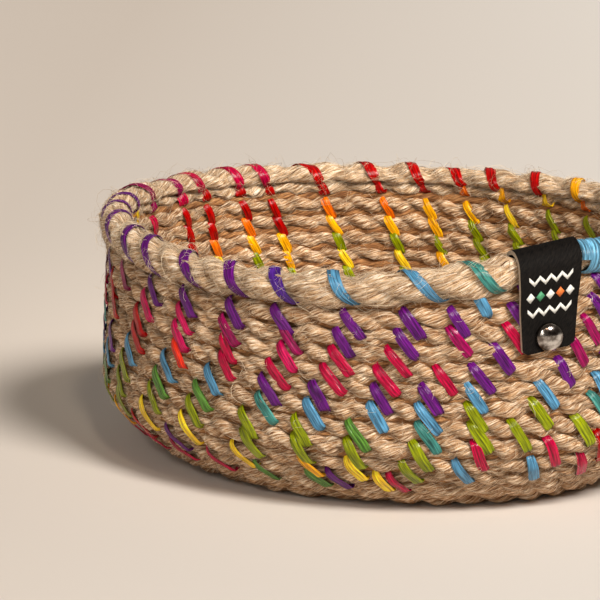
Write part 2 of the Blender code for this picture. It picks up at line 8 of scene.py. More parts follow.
import bpy
import numpy as np
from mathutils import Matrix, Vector


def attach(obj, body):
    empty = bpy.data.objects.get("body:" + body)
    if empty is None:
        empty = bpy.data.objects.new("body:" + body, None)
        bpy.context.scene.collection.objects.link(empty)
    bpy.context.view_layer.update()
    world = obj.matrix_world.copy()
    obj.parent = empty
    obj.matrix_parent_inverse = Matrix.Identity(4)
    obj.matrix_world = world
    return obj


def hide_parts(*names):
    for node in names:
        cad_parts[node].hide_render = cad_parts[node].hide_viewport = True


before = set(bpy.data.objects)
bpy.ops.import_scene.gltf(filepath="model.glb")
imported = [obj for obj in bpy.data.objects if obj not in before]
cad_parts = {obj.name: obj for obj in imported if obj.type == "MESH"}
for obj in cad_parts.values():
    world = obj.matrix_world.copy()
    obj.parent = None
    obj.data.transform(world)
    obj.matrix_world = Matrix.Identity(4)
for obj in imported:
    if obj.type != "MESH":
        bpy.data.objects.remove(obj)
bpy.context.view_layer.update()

RANDOM = np.random.default_rng(7)
UPWARD = np.array([0.0, 0.0, 1.0])

# The basket's shape, the same as the CAD's
ROPE_DEPTH = 0.0071
ROPE_PITCH = 0.0068
ROPE_END_THICKNESS = 0.0016
ROPE_TAPER_LENGTH = 0.055
FIRST_TURN = 0.42
RIM_LENGTH = 0.2146
RIM_WIDTH = 0.1710
BASE_FLAT_RADIUS = 0.0675
BELLY_RADIUS = 0.0974
NECK_RADIUS = 0.0952
CORNER_HEIGHT = 0.0246
CORNER_POWER = 1.43
RIM_CENTRE_HEIGHT = 0.0880
FRONT_SAG = 0.0070
SAG_ANGLE = math.radians(-87.0)
ROPE_END_ANGLE = math.radians(-52.6)
RIM_RADIUS = 0.0055
BOUND_RIM_RADIUS = 0.0047
RIM_SEAT_GAP = 0.0006
RIM_OUTSET = 0.0010
SEAT_BLEND_LENGTH = 0.020
TAB_BACK_TURNS = 1.5 / 24
TAB_HALF_TURNS = 0.5 / 24
STITCHES_PER_TURN = 31
PROFILE_POINTS = 60

OVAL_X = 2 * RIM_LENGTH / (RIM_LENGTH + RIM_WIDTH)
OVAL_Y = 2 * RIM_WIDTH / (RIM_LENGTH + RIM_WIDTH)
RIM_PATH_RADIUS = (RIM_LENGTH + RIM_WIDTH) / 4
ROPE_RADIUS = ROPE_DEPTH / 2
BASE_CENTRE_HEIGHT = ROPE_RADIUS - ROPE_DEPTH / 10
TURN_LENGTH = 2 * math.pi * RIM_PATH_RADIUS

# Camera, fitted to the photograph
CAMERA_AZIMUTH = math.radians(34.2)
CAMERA_ELEVATION = math.radians(10.1)
CAMERA_DISTANCE = 1.2
CAMERA_LENS_MM = 198
CAMERA_SENSOR_MM = 36
IMAGE_SIDE = 600
RIM_CENTRE_PIXEL = (388.5, 220.0)
PIXEL_FOCAL = IMAGE_SIDE * CAMERA_LENS_MM / CAMERA_SENSOR_MM

# Screen colour and library slot of each ribbon
INKS = {
    "purple": ((86, 14, 100), "purple"),
    "violet": ((70, 30, 122), "violet"),
    "magenta": ((130, 2, 68), "magenta"),
    "crimson": ((162, 0, 50), "crimson"),
    "pink": ((178, 4, 74), "crimson"),
    "red": ((154, 2, 2), "red"),
    "flame": ((204, 38, 14), "red"),
    "orange": ((222, 98, 6), "yellow"),
    "gold": ((236, 158, 8), "yellow"),
    "yellow": ((238, 190, 30), "yellow"),
    "lime": ((120, 128, 2), "green"),
    "green": ((76, 118, 42), "green"),
    "teal": ((54, 114, 106), "blue"),
    "blue": ((72, 124, 156), "blue"),
}


def linear(channel):
    """A screen value from 0 to 255 as linear light."""
    share = channel / 255
    return share / 12.92 if share <= 0.04045 else ((share + 0.055) / 1.055) ** 2.4


def colour(screen, factor=1.0):
    """A screen colour times a factor, as a linear RGBA value."""
    return tuple(min(1.0, linear(channel) * factor) for channel in screen) + (1.0,)


def smooth_step(share):
    share = np.clip(share, 0.0, 1.0)
    return share * share * (3 - 2 * share)


def bell(distance, width):
    """1 at no distance, falling to nothing past the width."""
    return np.exp(-((distance / width) ** 2))


def vectors(x, y, z):
    """Arrays of components as an array of points."""
    return np.stack(np.broadcast_arrays(x, y, z), axis=-1)


def unit(vector):
    return vector / np.linalg.norm(vector, axis=-1, keepdims=True)


def distance_along(path):
    """Length of a path up to each of its points."""
    return np.concatenate(([0.0], np.cumsum(np.linalg.norm(np.diff(path, axis=0), axis=1))))


# Paths of the wall and the rim


def wall_profile():
    """Radius, height and length along the wall's section, from the base's middle up past the rim."""
    angles = np.linspace(0, math.pi / 2, PROFILE_POINTS)
    reach = BELLY_RADIUS - BASE_FLAT_RADIUS
    corner_r = BASE_FLAT_RADIUS + reach * np.sin(angles) ** CORNER_POWER
    corner_z = CORNER_HEIGHT * (1 - np.cos(angles) ** CORNER_POWER)
    wall_top = RIM_CENTRE_HEIGHT + RIM_RADIUS - BASE_CENTRE_HEIGHT
    wall_z = np.linspace(CORNER_HEIGHT, wall_top, PROFILE_POINTS)[1:]
    rise = (wall_z - CORNER_HEIGHT) / (wall_top - CORNER_HEIGHT)
    wall_r = BELLY_RADIUS + (NECK_RADIUS - BELLY_RADIUS) * rise * rise * (3 - 2 * rise)
    radius = np.concatenate(([0.0], corner_r, wall_r))
    height = np.concatenate(([0.0], corner_z, wall_z)) + BASE_CENTRE_HEIGHT
    length = np.concatenate(([0.0], np.cumsum(np.hypot(np.diff(radius), np.diff(height)))))
    return radius, height, length


PROFILE_R, PROFILE_Z, PROFILE_LENGTH = wall_profile()
ROWS_TOP_HEIGHT = RIM_CENTRE_HEIGHT - RIM_RADIUS - RIM_SEAT_GAP
LAST_TURN = float(np.interp(ROWS_TOP_HEIGHT, PROFILE_Z[1:], PROFILE_LENGTH[1:])) / ROPE_PITCH
TAB_TURN = LAST_TURN - TAB_BACK_TURNS


def row_radius(turn):
    """Mean radius of the rope's path at a turn number."""
    return np.interp(ROPE_PITCH * turn, PROFILE_LENGTH, PROFILE_R)


def turn_angle(turn):
    return ROPE_END_ANGLE - 2 * math.pi * (turn - LAST_TURN)


def outward(turn):
    """Level unit vectors square to the oval."""
    angle = turn_angle(turn)
    return unit(vectors(np.cos(angle) / OVAL_X, np.sin(angle) / OVAL_Y, 0.0))


def wall_point(length, turn):
    """Points in the middle of the wall's thickness."""
    radius = np.interp(length, PROFILE_LENGTH, PROFILE_R)
    height = np.interp(length, PROFILE_LENGTH, PROFILE_Z)
    lift = (height - BASE_CENTRE_HEIGHT) / (RIM_CENTRE_HEIGHT - BASE_CENTRE_HEIGHT)
    angle = turn_angle(turn)
    sag = FRONT_SAG * np.clip(np.cos(angle - SAG_ANGLE), 0.0, 1.0) ** 3
    return vectors(radius * OVAL_X * np.cos(angle), radius * OVAL_Y * np.sin(angle), height - sag * lift)


def wall_frame(length, turn):
    """Points of the wall with the unit vectors out of it and up along it."""
    step = ROPE_PITCH / 4
    length = np.asarray(length, float)
    turn = np.asarray(turn, float)
    rise = wall_point(length + step, turn) - wall_point(np.maximum(length - step, 0.0), turn)
    across = outward(turn)
    level = np.sum(rise * across, axis=-1, keepdims=True)
    up = across * level
    up[..., 2] = rise[..., 2]
    up = unit(up)
    out = across * up[..., 2:3]
    out[..., 2] = -np.sum(up * across, axis=-1)
    return wall_point(length, turn), out, up


def row_thickness(turn):
    taper_turns = ROPE_TAPER_LENGTH / TURN_LENGTH
    share = smooth_step((turn - (LAST_TURN - taper_turns)) / taper_turns)
    return ROPE_PITCH + (ROPE_END_THICKNESS - ROPE_PITCH) * share


def rim_centre(turn):
    """Middle of the rim roll, with the level vector out of it."""
    in_loop = LAST_TURN - 1 + (np.asarray(turn, float) - LAST_TURN) % 1.0
    blend = smooth_step((in_loop - (LAST_TURN - 1)) / (SEAT_BLEND_LENGTH / TURN_LENGTH))
    seat = ROPE_PITCH * (in_loop - 0.5) + row_thickness(in_loop) + ROPE_END_THICKNESS * (1 - blend)
    point, _, up = wall_frame(seat, in_loop)
    out = outward(in_loop)
    return point + up * (RIM_SEAT_GAP + RIM_RADIUS) + out * RIM_OUTSET, out


def further(turn, distance):
    """Turn number at a distance further along the row."""
    return turn + distance / (2 * math.pi * row_radius(turn))


# Camera

SIDEWAYS = np.array([math.cos(CAMERA_AZIMUTH), math.sin(CAMERA_AZIMUTH), 0.0])
AWAY = np.array([-math.sin(CAMERA_AZIMUTH), math.cos(CAMERA_AZIMUTH), 0.0])
CAMERA_BACK = UPWARD * math.sin(CAMERA_ELEVATION) - AWAY * math.cos(CAMERA_ELEVATION)
RIM_MIDDLE = UPWARD * RIM_CENTRE_HEIGHT
CAMERA_PLACE = RIM_MIDDLE + CAMERA_BACK * CAMERA_DISTANCE
SHIFT_RIGHT = (RIM_CENTRE_PIXEL[0] - IMAGE_SIDE / 2) / PIXEL_FOCAL * CAMERA_DISTANCE
SHIFT_UP = (IMAGE_SIDE / 2 - RIM_CENTRE_PIXEL[1]) / PIXEL_FOCAL * CAMERA_DISTANCE


def camera_axes():
    """Right and forward of the camera, turned so that the rim's middle falls on its pixel."""
    up = np.cross(SIDEWAYS, -CAMERA_BACK)
    target = RIM_MIDDLE - SIDEWAYS * SHIFT_RIGHT - up * SHIFT_UP
    forward = unit(target - CAMERA_PLACE)
    return unit(np.cross(forward, UPWARD)), forward


CAMERA_RIGHT, CAMERA_FORWARD = camera_axes()


def pixel_column(points):
    """Where points fall across the picture."""
    ray = points - CAMERA_PLACE
    return IMAGE_SIDE / 2 + PIXEL_FOCAL * (ray @ CAMERA_RIGHT) / (ray @ CAMERA_FORWARD)


def new_object(name, data):
    made = bpy.data.objects.new(name, data)
    bpy.context.scene.collection.objects.link(made)
    return made


def make_camera():
    data = bpy.data.cameras.new("camera")
    data.lens = CAMERA_LENS_MM
    data.sensor_width = CAMERA_SENSOR_MM
    camera = new_object("camera", data)
    camera.location = CAMERA_PLACE
    camera.rotation_mode = "QUATERNION"
    camera.rotation_quaternion = Vector(CAMERA_FORWARD).to_track_quat("-Z", "Y")
    bpy.context.scene.camera = camera


# Meshes


class Batch:
    """Vertices, faces and UVs of pieces that become one object."""

    def __init__(self):
        self.points = []
        self.faces = []
        self.uvs = []
        self.count = 0

    def add(self, points, uvs, *face_groups):
        """Points (n, 3), their UVs in metres (n, 2), and groups of quads or triangles."""
        self.points.append(points)
        self.uvs.append(uvs)
        self.faces += [faces + self.count for faces in face_groups]
        self.count += len(points)

    def add_tube(self, rings, along, across):
        """A closed tube from rings (n, sides, 3), its UVs given along and across."""
        count, sides = rings.shape[:2]
        uvs = vectors(along[:, None], across[None, :], 0.0)[..., :2]
        self.add(rings.reshape(-1, 3), uvs.reshape(-1, 2), tube_faces(count, sides), cap_faces(count, sides))
        return self

    def build(self, name, finish, slot_name, replaced=(), sharp=None):
        points = np.concatenate(self.points)
        uvs = np.concatenate(self.uvs)
        corners = np.concatenate([faces.ravel() for faces in self.faces])
        sizes = np.concatenate([np.full(len(faces), faces.shape[1]) for faces in self.faces])
        mesh = bpy.data.meshes.new(name)
        mesh.vertices.add(len(points))
        mesh.vertices.foreach_set("co", points.ravel())
        mesh.loops.add(len(corners))
        mesh.loops.foreach_set("vertex_index", corners)
        mesh.polygons.add(len(sizes))
        mesh.polygons.foreach_set("loop_start", np.concatenate(([0], np.cumsum(sizes)[:-1])))
        mesh.update(calc_edges=True)
        layer = mesh.uv_layers.new(name="UVMap")
        layer.data.foreach_set("uv", uvs[corners].ravel())
        mesh.validate()
        mesh.shade_smooth()
        if sharp is not None:
            mesh.set_sharp_from_angle(angle=sharp)
        mesh.materials.append(finish)
        made = new_object(name, mesh)
        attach(made, "root")
        if replaced:
            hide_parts(*replaced)
        return made


def tube_faces(rings, sides):
    """Quads between rings of points."""
    ring = np.arange(rings - 1)[:, None] * sides
    side = np.arange(sides)[None, :]
    after = (side + 1) % sides
    quads = np.stack([ring + side, ring + after, ring + sides + after, ring + sides + side], axis=-1)
    return quads.reshape(-1, 4)


def fan_faces(sides):
    """Triangles from the first corner of a ring to the rest of it."""
    index = np.arange(1, sides - 1)
    return np.stack([np.zeros_like(index), index, index + 1], axis=-1)


def cap_faces(rings, sides):
    """Triangle fans that close a tube's two ends."""
    fan = fan_faces(sides)
    return np.concatenate([fan[:, [0, 2, 1]], fan + (rings - 1) * sides])


def full_circle(sides):
    return np.linspace(0, 2 * math.pi, sides, endpoint=False)


def spokes(out, angle, up=UPWARD):
    """Vectors turned from the way out towards up, each by its angle."""
    return out * np.cos(angle)[..., None] + up * np.sin(angle)[..., None]


def rings_round(centre, radius, out, angle, up=UPWARD):
    """Rings of points round centres (n, 3), with radii (n, sides) at angles from the way out to up."""
    ways = spokes(out[..., None, :], angle[None, :], up[..., None, :])
    return centre[:, None, :] + radius[..., None] * ways


# Materials

NOISE_ROUGHNESS_SHARE = 0.6


class Finish:
    """A material and the nodes that lead to its shader. Noise is in cells per metre."""

    def __init__(self, name, roughness, specular=0.5):
        self.material = bpy.data.materials.new(name)
        self.material.use_nodes = True
        self.shader = self.material.node_tree.nodes["Principled BSDF"]
        self.shader.inputs["Roughness"].default_value = roughness
        self.shader.inputs["Specular IOR Level"].default_value = specular
        self.normal = None

    def node(self, kind, **values):
        """A new node with values on its inputs."""
        made = self.material.node_tree.nodes.new(kind)
        for name, value in values.items():
            made.inputs[name].default_value = value
        return made

    def link(self, source, target):
        self.material.node_tree.links.new(source, target)

    def paint(self, source):
        self.link(source, self.shader.inputs["Base Color"])

    def uv(self):
        place = self.node("ShaderNodeUVMap")
        place.uv_map = "UVMap"
        return place.outputs["UV"]

    def stretched_noise(self, cells, detail, turn=0.0):
        """Noise on the UVs, turned by an angle, with cells along and across."""
        turned = self.node("ShaderNodeMapping", Rotation=(0.0, 0.0, turn))
        stretched = self.node("ShaderNodeMapping", Scale=(cells[0], cells[1], 1.0))
        noise = self.node("ShaderNodeTexNoise", Scale=1.0, Detail=detail, Roughness=NOISE_ROUGHNESS_SHARE)
        self.link(self.uv(), turned.inputs["Vector"])
        self.link(turned.outputs["Vector"], stretched.inputs["Vector"])
        self.link(stretched.outputs["Vector"], noise.inputs["Vector"])
        return noise.outputs["Fac"]

    def solid_noise(self, cells, detail=2.0):
        """Noise in the object's own space."""
        noise = self.node("ShaderNodeTexNoise", Scale=cells, Detail=detail)
        self.link(self.node("ShaderNodeTexCoord").outputs["Object"], noise.inputs["Vector"])
        return noise.outputs["Fac"]

    def ramp(self, source, *stops):
        """Colours at shares along a value."""
        made = self.node("ShaderNodeValToRGB")
        elements = made.color_ramp.elements
        while len(elements) < len(stops):
            elements.new(0.5)
        for element, (place, shade) in zip(elements, stops):
            element.position = place
            element.color = shade
        self.link(source, made.inputs["Fac"])
        return made.outputs["Color"]

    def product(self, first, second):
        """Two colour sockets multiplied."""
        made = self.node("ShaderNodeMix", Factor=1.0)
        made.data_type = "RGBA"
        made.blend_type = "MULTIPLY"
        targets = [socket for socket in made.inputs if socket.type == "RGBA"]
        for source, target in zip((first, second), targets):
            self.link(source, target)
        return [socket for socket in made.outputs if socket.type == "RGBA"][0]

    def bump(self, height, strength, distance):
        """Bump from a height socket, laid over the bumps made before it."""
        made = self.node("ShaderNodeBump", Strength=strength, Distance=distance)
        self.link(height, made.inputs["Height"])
        if self.normal is not None:
            self.link(self.normal, made.inputs["Normal"])
        self.normal = made.outputs["Normal"]
        self.link(self.normal, self.shader.inputs["Normal"])


# Jute, with fibres that lie aslant to the rope

FIBRE_TURN = math.radians(20)
FIBRE_CELLS = (230, 2100)
STRAND_CELLS = (85, 620)
PATCH_CELLS = 60
STRAND_BUMP = 0.0018
FIBRE_BUMP = 0.0009
# Dark, middle and pale streaks
JUTES = {
    "jute": ((128, 84, 50), (198, 156, 112), (246, 226, 200)),
    # Painted shade: darker jute for the strand in the grooves between rows
    "groove_shade_jute": ((118, 76, 42), (168, 116, 70), (200, 150, 98)),
    "rim_jute": ((134, 98, 64), (222, 186, 144), (250, 238, 220)),
}
LOOSE_FIBRE_DARK = (128, 90, 56)
LOOSE_FIBRE_PALE = (252, 232, 200)


def jute_material(name):
    """Dry plant fibre: pale and brown streaks, painted shade between bundles, and fine ridges along the
    yarn.
    """
    finish = Finish(name, 0.78, 0.35)
    dark, middle, pale = JUTES[name]
    fibre = finish.stretched_noise(FIBRE_CELLS, 5.0, FIBRE_TURN)
    strand = finish.stretched_noise(STRAND_CELLS, 2.0, FIBRE_TURN)
    patch = finish.solid_noise(PATCH_CELLS)
    # The streaks follow the fibre bump's noise: partly the fibres' own tone, partly painted shade in its
    # hollows and painted highlight on its ridges
    streaks = finish.ramp(fibre, (0.36, colour(dark)), (0.49, colour(middle)), (0.60, colour(pale)))
    # Painted shade: darker where the strand noise and its bump sink, between the bundles
    bundles = finish.ramp(strand, (0.38, (0.56, 0.49, 0.42, 1)), (0.56, (1.06, 1.05, 1.04, 1)))
    areas = finish.ramp(patch, (0.38, (0.84, 0.80, 0.76, 1)), (0.62, (1.06, 1.06, 1.06, 1)))
    finish.paint(finish.product(finish.product(streaks, bundles), areas))
    finish.bump(strand, 0.9, STRAND_BUMP)
    finish.bump(fibre, 1.0, FIBRE_BUMP)
    return finish.material


def fibre_material():
    """Single fibres, each with its own shade, read from its second UV value."""
    finish = Finish("fibre", 0.6, 0.4)
    split = finish.node("ShaderNodeSeparateXYZ")
    finish.link(finish.uv(), split.inputs["Vector"])
    ends = (0.0, colour(LOOSE_FIBRE_DARK)), (1.0, colour(LOOSE_FIBRE_PALE))
    finish.paint(finish.ramp(split.outputs["Y"], *ends))
    return finish.material


# Satin ribbon

THREAD_CELLS = (90, 4200)
CREASE_CELLS = (110, 1500)
CREASE_BUMP = 0.0005
THREAD_BUMP = 0.0001
# Painted shade in the ribbons' creases and painted highlight on their ridges, as shares of the ink's colour
SATIN_CREASE_SHADE_SHARE = 0.33
SATIN_GLINT = 1.85
BINDING_GLINT = 2.4


def ribbon_material(name, screen, glint=SATIN_GLINT):
    """Satin ribbon: slight creases with painted shade in their hollows and painted highlight streaks on
    their ridges, and fine threads that break up the highlight.
    """
    finish = Finish(name, 0.19, 0.28)
    threads = finish.stretched_noise(THREAD_CELLS, 3.0)
    creases = finish.stretched_noise(CREASE_CELLS, 2.0)
    crease_shade = (0.33, colour(screen, SATIN_CREASE_SHADE_SHARE))
    # Painted shade where the crease noise sinks, painted highlight where it rises
    finish.paint(finish.ramp(creases, crease_shade, (0.51, colour(screen)), (0.70, colour(screen, glint))))
    finish.bump(creases, 0.8, CREASE_BUMP)
    finish.bump(threads, 0.8, THREAD_BUMP)
    return finish.material


# Rope

ROPE_SIDES = 32
TURN_SAMPLES = 60000
WALL_RING_STEP = 0.0012
BASE_RING_STEP = 0.0022
WALL_FIRST_TURN = 9.0
ROPE_LOOK_RADIUS = 0.00428
ROPE_TIP_SHARE = 0.45
LAY_LENGTH = 0.0235
PLY_DEPTH_SHARE = 0.42
PLY_ROUNDNESS = 0.85
DENT_DEPTH = 0.0016
DENT_LENGTH = 0.0023
DENT_ANGLE = 0.55
DENT_BELOW_ANGLE = -0.3
DENT_ABOVE_ANGLE = 1.2
PINCH_SHARE = 0.18
PINCH_LENGTH = 0.0030
RELIEF = 0.00019
RELIEF_RINGS = 5
STILL_TURNS = 5
STILL_BLEND_TURNS = 3
END_STILL_TURNS = 0.2
END_CLOSING_TURNS = 0.004
START_CLOSING_TURNS = 0.02
CLOSED_SHARE = 0.15
# Slow random swings: the length of each and its size
SWELL = (0.010, 0.00012)
ROW_RISE = (0.012, 0.00042)
ROW_SHIFT = (0.014, ROW_RISE[1] * 0.6)
LAY_SWING = (0.04, 0.9)
CORE_RADIUS = 0.0022
CORE_INSET = 0.0005
CORE_SIDES = 8
CORE_RING_SKIP = 3


def rope_turns():
    """Turn numbers of the rope's rings, spaced evenly along it."""
    dense = np.linspace(FIRST_TURN, LAST_TURN, TURN_SAMPLES)
    step = np.where(dense > WALL_FIRST_TURN, WALL_RING_STEP, BASE_RING_STEP)
    place = np.cumsum(np.gradient(dense) * 2 * math.pi * row_radius(dense) / step)
    count = int(place[-1] - place[0])
    return np.interp(np.linspace(place[0], place[-1], count), place, dense)


def relief(rings, sides, along, amount):
    """Low ridges along a strand: random heights, smoothed along its length."""
    field = RANDOM.normal(size=(rings, sides))
    kernel = np.hanning(along + 2)[1:-1]
    kernel = kernel / math.sqrt(np.sum(kernel**2))
    for side in range(sides):
        field[:, side] = np.convolve(field[:, side], kernel, mode="same")
    return field * amount


def lobes(angle, phase, plies, depth):
    """Radius share of a strand laid up from rounded plies."""
    ridge = np.abs(np.cos((angle - phase) * plies / 2))
    return 1 - depth + depth * ridge**PLY_ROUNDNESS


def wander(travel, length, amount):
    """A slow random swing along a strand, with a new value at each length."""
    marks = np.arange(0, travel[-1] + 2 * length, length)
    values = RANDOM.normal(size=len(marks)) * amount
    place = travel / length
    index = place.astype(int)
    share = smooth_step(place - index)
    return values[index] * (1 - share) + values[index + 1] * share


def nearest_gap(places, marks):
    """Distance from each place to the nearest mark."""
    marks = np.sort(np.asarray(marks))
    index = np.searchsorted(marks, places)
    low = marks[np.clip(index - 1, 0, len(marks) - 1)]
    high = marks[np.clip(index, 0, len(marks) - 1)]
    return np.minimum(np.abs(places - low), np.abs(high - places))


def make_rope(finish, crossings, entries, starts):
    """One rope of two plies, wound up from the middle of the base."""
    turns = rope_turns()
    thickness = row_thickness(turns)
    centre, out, up = wall_frame(ROPE_PITCH * (turns - 0.5) + thickness / 2, turns)
    travel = distance_along(centre)
    around = row_radius(turns) * 2 * math.pi
    pinch = 1 - PINCH_SHARE * bell(nearest_gap(turns, crossings) * around, PINCH_LENGTH)
    radius = ROPE_LOOK_RADIUS * (ROPE_TIP_SHARE + (1 - ROPE_TIP_SHARE) * thickness / ROPE_PITCH) * pinch
    radius = radius + wander(travel, *SWELL)
    free = smooth_step((turns - STILL_TURNS) / STILL_BLEND_TURNS)
    free = free * smooth_step((LAST_TURN - END_STILL_TURNS - turns) / END_STILL_TURNS)
    centre = centre + up * (wander(travel, *ROW_RISE) * free)[:, None]
    centre = centre + out * (wander(travel, *ROW_SHIFT) * free)[:, None]
    angle = full_circle(ROPE_SIDES) - math.pi / 2
    phase = 2 * math.pi * travel / LAY_LENGTH + wander(travel, *LAY_SWING)
    shape = lobes(angle[None, :], phase[:, None], 2, PLY_DEPTH_SHARE)
    shape = shape * radius[:, None] + relief(len(turns), ROPE_SIDES, RELIEF_RINGS, RELIEF)
    for marks, facing in ((entries, DENT_BELOW_ANGLE), (starts, DENT_ABOVE_ANGLE)):
        along = bell(nearest_gap(turns, marks) * around, DENT_LENGTH)
        shape = shape - DENT_DEPTH * along[:, None] * bell(angle - facing, DENT_ANGLE)[None, :]
    end = smooth_step((LAST_TURN - turns) / END_CLOSING_TURNS)
    end = end * smooth_step((turns - FIRST_TURN) / START_CLOSING_TURNS)
    shape = shape * (CLOSED_SHARE + (1 - CLOSED_SHARE) * end[:, None])
    rings = rings_round(centre, shape, out, angle, up)
    rings[..., 2] = np.maximum(rings[..., 2], 0.0)
    batch = Batch().add_tube(rings, travel, angle * ROPE_RADIUS)
    batch.build("jute_rope", finish, "jute", ("coiled_rope",))
    return turns, travel, rings


def make_groove_shade_strand(finish, turns, travel):
    """A thin strand in the rope's grooves, so that no light comes through them, darker than the rope as
    painted shade in the valleys.
    """
    turns = turns[::CORE_RING_SKIP]
    travel = travel[::CORE_RING_SKIP]
    point, out, up = wall_frame(ROPE_PITCH * (turns - 0.5) + row_thickness(turns), turns)
    angle = full_circle(CORE_SIDES)
    radius = np.full((len(turns), 1), CORE_RADIUS)
    rings = rings_round(point - out * CORE_INSET, radius, out, angle, up)
    rings[..., 2] = np.maximum(rings[..., 2], ROPE_RADIUS / 4)
    Batch().add_tube(rings, travel, angle * CORE_RADIUS).build("groove_shade_strand", finish, "jute")


# Rim roll

RIM_SIDES = 36
RIM_RING_STEP = 0.0013
RIM_LOOK_RADIUS = 0.0061
RIM_LAY_LENGTH = 0.042
RIM_PLY_DEPTH_SHARE = 0.28
RIM_PLUMP_SHARE = 0.02
RIM_PINCH_SHARE = 0.20
RIM_PINCH_LENGTH = 0.0034
RIM_GROOVE_ANGLE = math.radians(197)
RIM_GROOVE_SPREAD = math.radians(13)
RIM_GROOVE_DEPTH = 0.0022
RIM_RELIEF = 0.00028
RIM_RELIEF_RINGS = 7
BOUND_RELIEF_SHARE = 0.3
RIM_END_GAP_TURNS = 0.0008
RIM_SWELL = (0.014, 0.00022)
RIM_LAY_SWING = (0.05, 0.7)
WRAP_TURNS = 7
WRAP_PITCH = 0.0041
WRAP_WIDTH = 0.0042
WRAP_TAB_GAP = 0.0010
WRAP_FIRST_WIDTH = 0.0035
WRAP_MARGIN = 0.002
WRAP_BLEND_LENGTH = 0.006
TAB_TOP_WIDTH = 0.0226
TAB_MARGIN = 0.001
TAB_BLEND_LENGTH = 0.004
WRAP_LENGTH = WRAP_TURNS * WRAP_PITCH
WRAP_START = TAB_TURN - (TAB_TOP_WIDTH / 2 + WRAP_TAB_GAP + WRAP_FIRST_WIDTH / 2) / TURN_LENGTH


def make_rim_roll(finish, crossings):
    """The thick roll of three plies on the wall's top, grooved inside and drawn in by ribbon."""
    count = int(TURN_LENGTH / RIM_RING_STEP)
    turns = np.linspace(TAB_TURN - 1 + RIM_END_GAP_TURNS, TAB_TURN - RIM_END_GAP_TURNS, count)
    centre, out = rim_centre(turns)
    travel = (turns - turns[0]) * TURN_LENGTH
    from_wrap = np.abs(turns - (WRAP_START - WRAP_LENGTH / TURN_LENGTH / 2)) * TURN_LENGTH
    free = smooth_step((from_wrap - WRAP_LENGTH / 2 - WRAP_MARGIN) / WRAP_BLEND_LENGTH)
    to_end = np.minimum(travel, travel[-1] - travel)
    free = free * smooth_step((to_end - TAB_TOP_WIDTH / 2 + TAB_MARGIN) / TAB_BLEND_LENGTH)
    radius = BOUND_RIM_RADIUS + (RIM_LOOK_RADIUS - BOUND_RIM_RADIUS) * free
    radius = radius + wander(travel, *RIM_SWELL) * free
    pinch = bell(nearest_gap(turns, crossings) * TURN_LENGTH, RIM_PINCH_LENGTH)
    radius = radius * (1 - RIM_PINCH_SHARE * pinch * free)
    angle = full_circle(RIM_SIDES) - math.pi / 2
    phase = 2 * math.pi * travel / RIM_LAY_LENGTH + wander(travel, *RIM_LAY_SWING)
    shape = lobes(angle[None, :], phase[:, None], 3, RIM_PLY_DEPTH_SHARE) + RIM_PLUMP_SHARE
    strength = BOUND_RELIEF_SHARE + (1 - BOUND_RELIEF_SHARE) * free[:, None]
    shape = shape * radius[:, None] + relief(count, RIM_SIDES, RIM_RELIEF_RINGS, RIM_RELIEF) * strength
    groove = bell(angle - RIM_GROOVE_ANGLE, RIM_GROOVE_SPREAD)
    shape = shape - RIM_GROOVE_DEPTH * groove[None, :] * free[:, None]
    rings = rings_round(centre, shape, out, angle)
    batch = Batch().add_tube(rings, travel, angle * RIM_RADIUS)
    batch.build("jute_rim_roll", finish, "rim_jute", ("rim_roll",))
    return rings


# Ribbon

RIBBON_WIDTH = 0.0038
RIBBON_THICKNESS = 0.00030
RIBBON_CROWN = 0.00026
RIBBON_CREASE = 0.00010
RIBBON_ACROSS_SHARES = np.array([-1.0, -0.82, -0.55, -0.25, 0.05, 0.35, 0.62, 0.85, 1.0, 0.8, -0.8])
RIBBON_TOP = np.array([True] * 9 + [False] * 2)
RIBBON_EDGE_ANGLE = math.radians(45)
PLEAT_WAVES = (3, 6)
PLEAT_PHASE = 6.3
PLEAT_DRIFT = 3
UV_SPREAD = 9


def add_ribbon(batch, path, normal, width, crown=RIBBON_CROWN):
    """A creased ribbon along a path, with the normals given at its points."""
    along = unit(np.gradient(path, axis=0))
    across = unit(np.cross(along, normal))
    out = np.cross(across, along)
    shares = RIBBON_ACROSS_SHARES
    share = np.linspace(0, 1, len(path))[:, None]
    pleats = RANDOM.uniform(*PLEAT_WAVES) * shares + RANDOM.uniform(0, PLEAT_PHASE)
    pleats = np.sin(pleats + share * RANDOM.uniform(-PLEAT_DRIFT, PLEAT_DRIFT))
    top = crown * (1 - shares**2) + pleats * RIBBON_CREASE
    rise = np.where(RIBBON_TOP, top, -RIBBON_THICKNESS)
    rings = path[:, None, :] + across[:, None, :] * shares[None, :, None] * (width / 2)[:, None, None]
    rings = rings + out[:, None, :] * rise[..., None]
    start = RANDOM.uniform(0, UV_SPREAD, size=2)
    batch.add_tube(rings, distance_along(path) + start[0], shares * RIBBON_WIDTH / 2 + start[1])


# Stitches of the wall

STITCH_LEAN = 0.0066
STITCH_BOW = 0.0003
STITCH_STEPS = 18
STITCH_ROWS = 1.6
ENTRY_ROWS = -1.2
START_ROWS = 0.56
INNER_LEAN_SHARE = 0.95
INNER_WIDTH_SHARE = 0.84
END_WIDTH_SHARE = 0.45
TAPER_SHARE = 0.34
TAPER_POWER = 0.6
# Rows up from the crest, and height over the wall's middle in millimetres
OUTER_SECTION = (
    (0.56, 0.2), (0.50, 1.7), (0.40, 3.0), (0.22, 3.8), (0.0, 4.15), (-0.22, 4.15), (-0.45, 4.0),
    (-0.7, 3.95), (-0.90, 4.05), (-1.02, 3.85), (-1.10, 3.0), (-1.13, 1.6), (-1.14, 0.6),
)
INNER_SECTION = (
    (0.56, 0.5), (0.46, 1.9), (0.32, 3.1), (0.12, 3.8), (-0.12, 3.9), (-0.36, 3.6), (-0.55, 3.2),
    (-0.72, 3.1), (-0.84, 1.8),
)


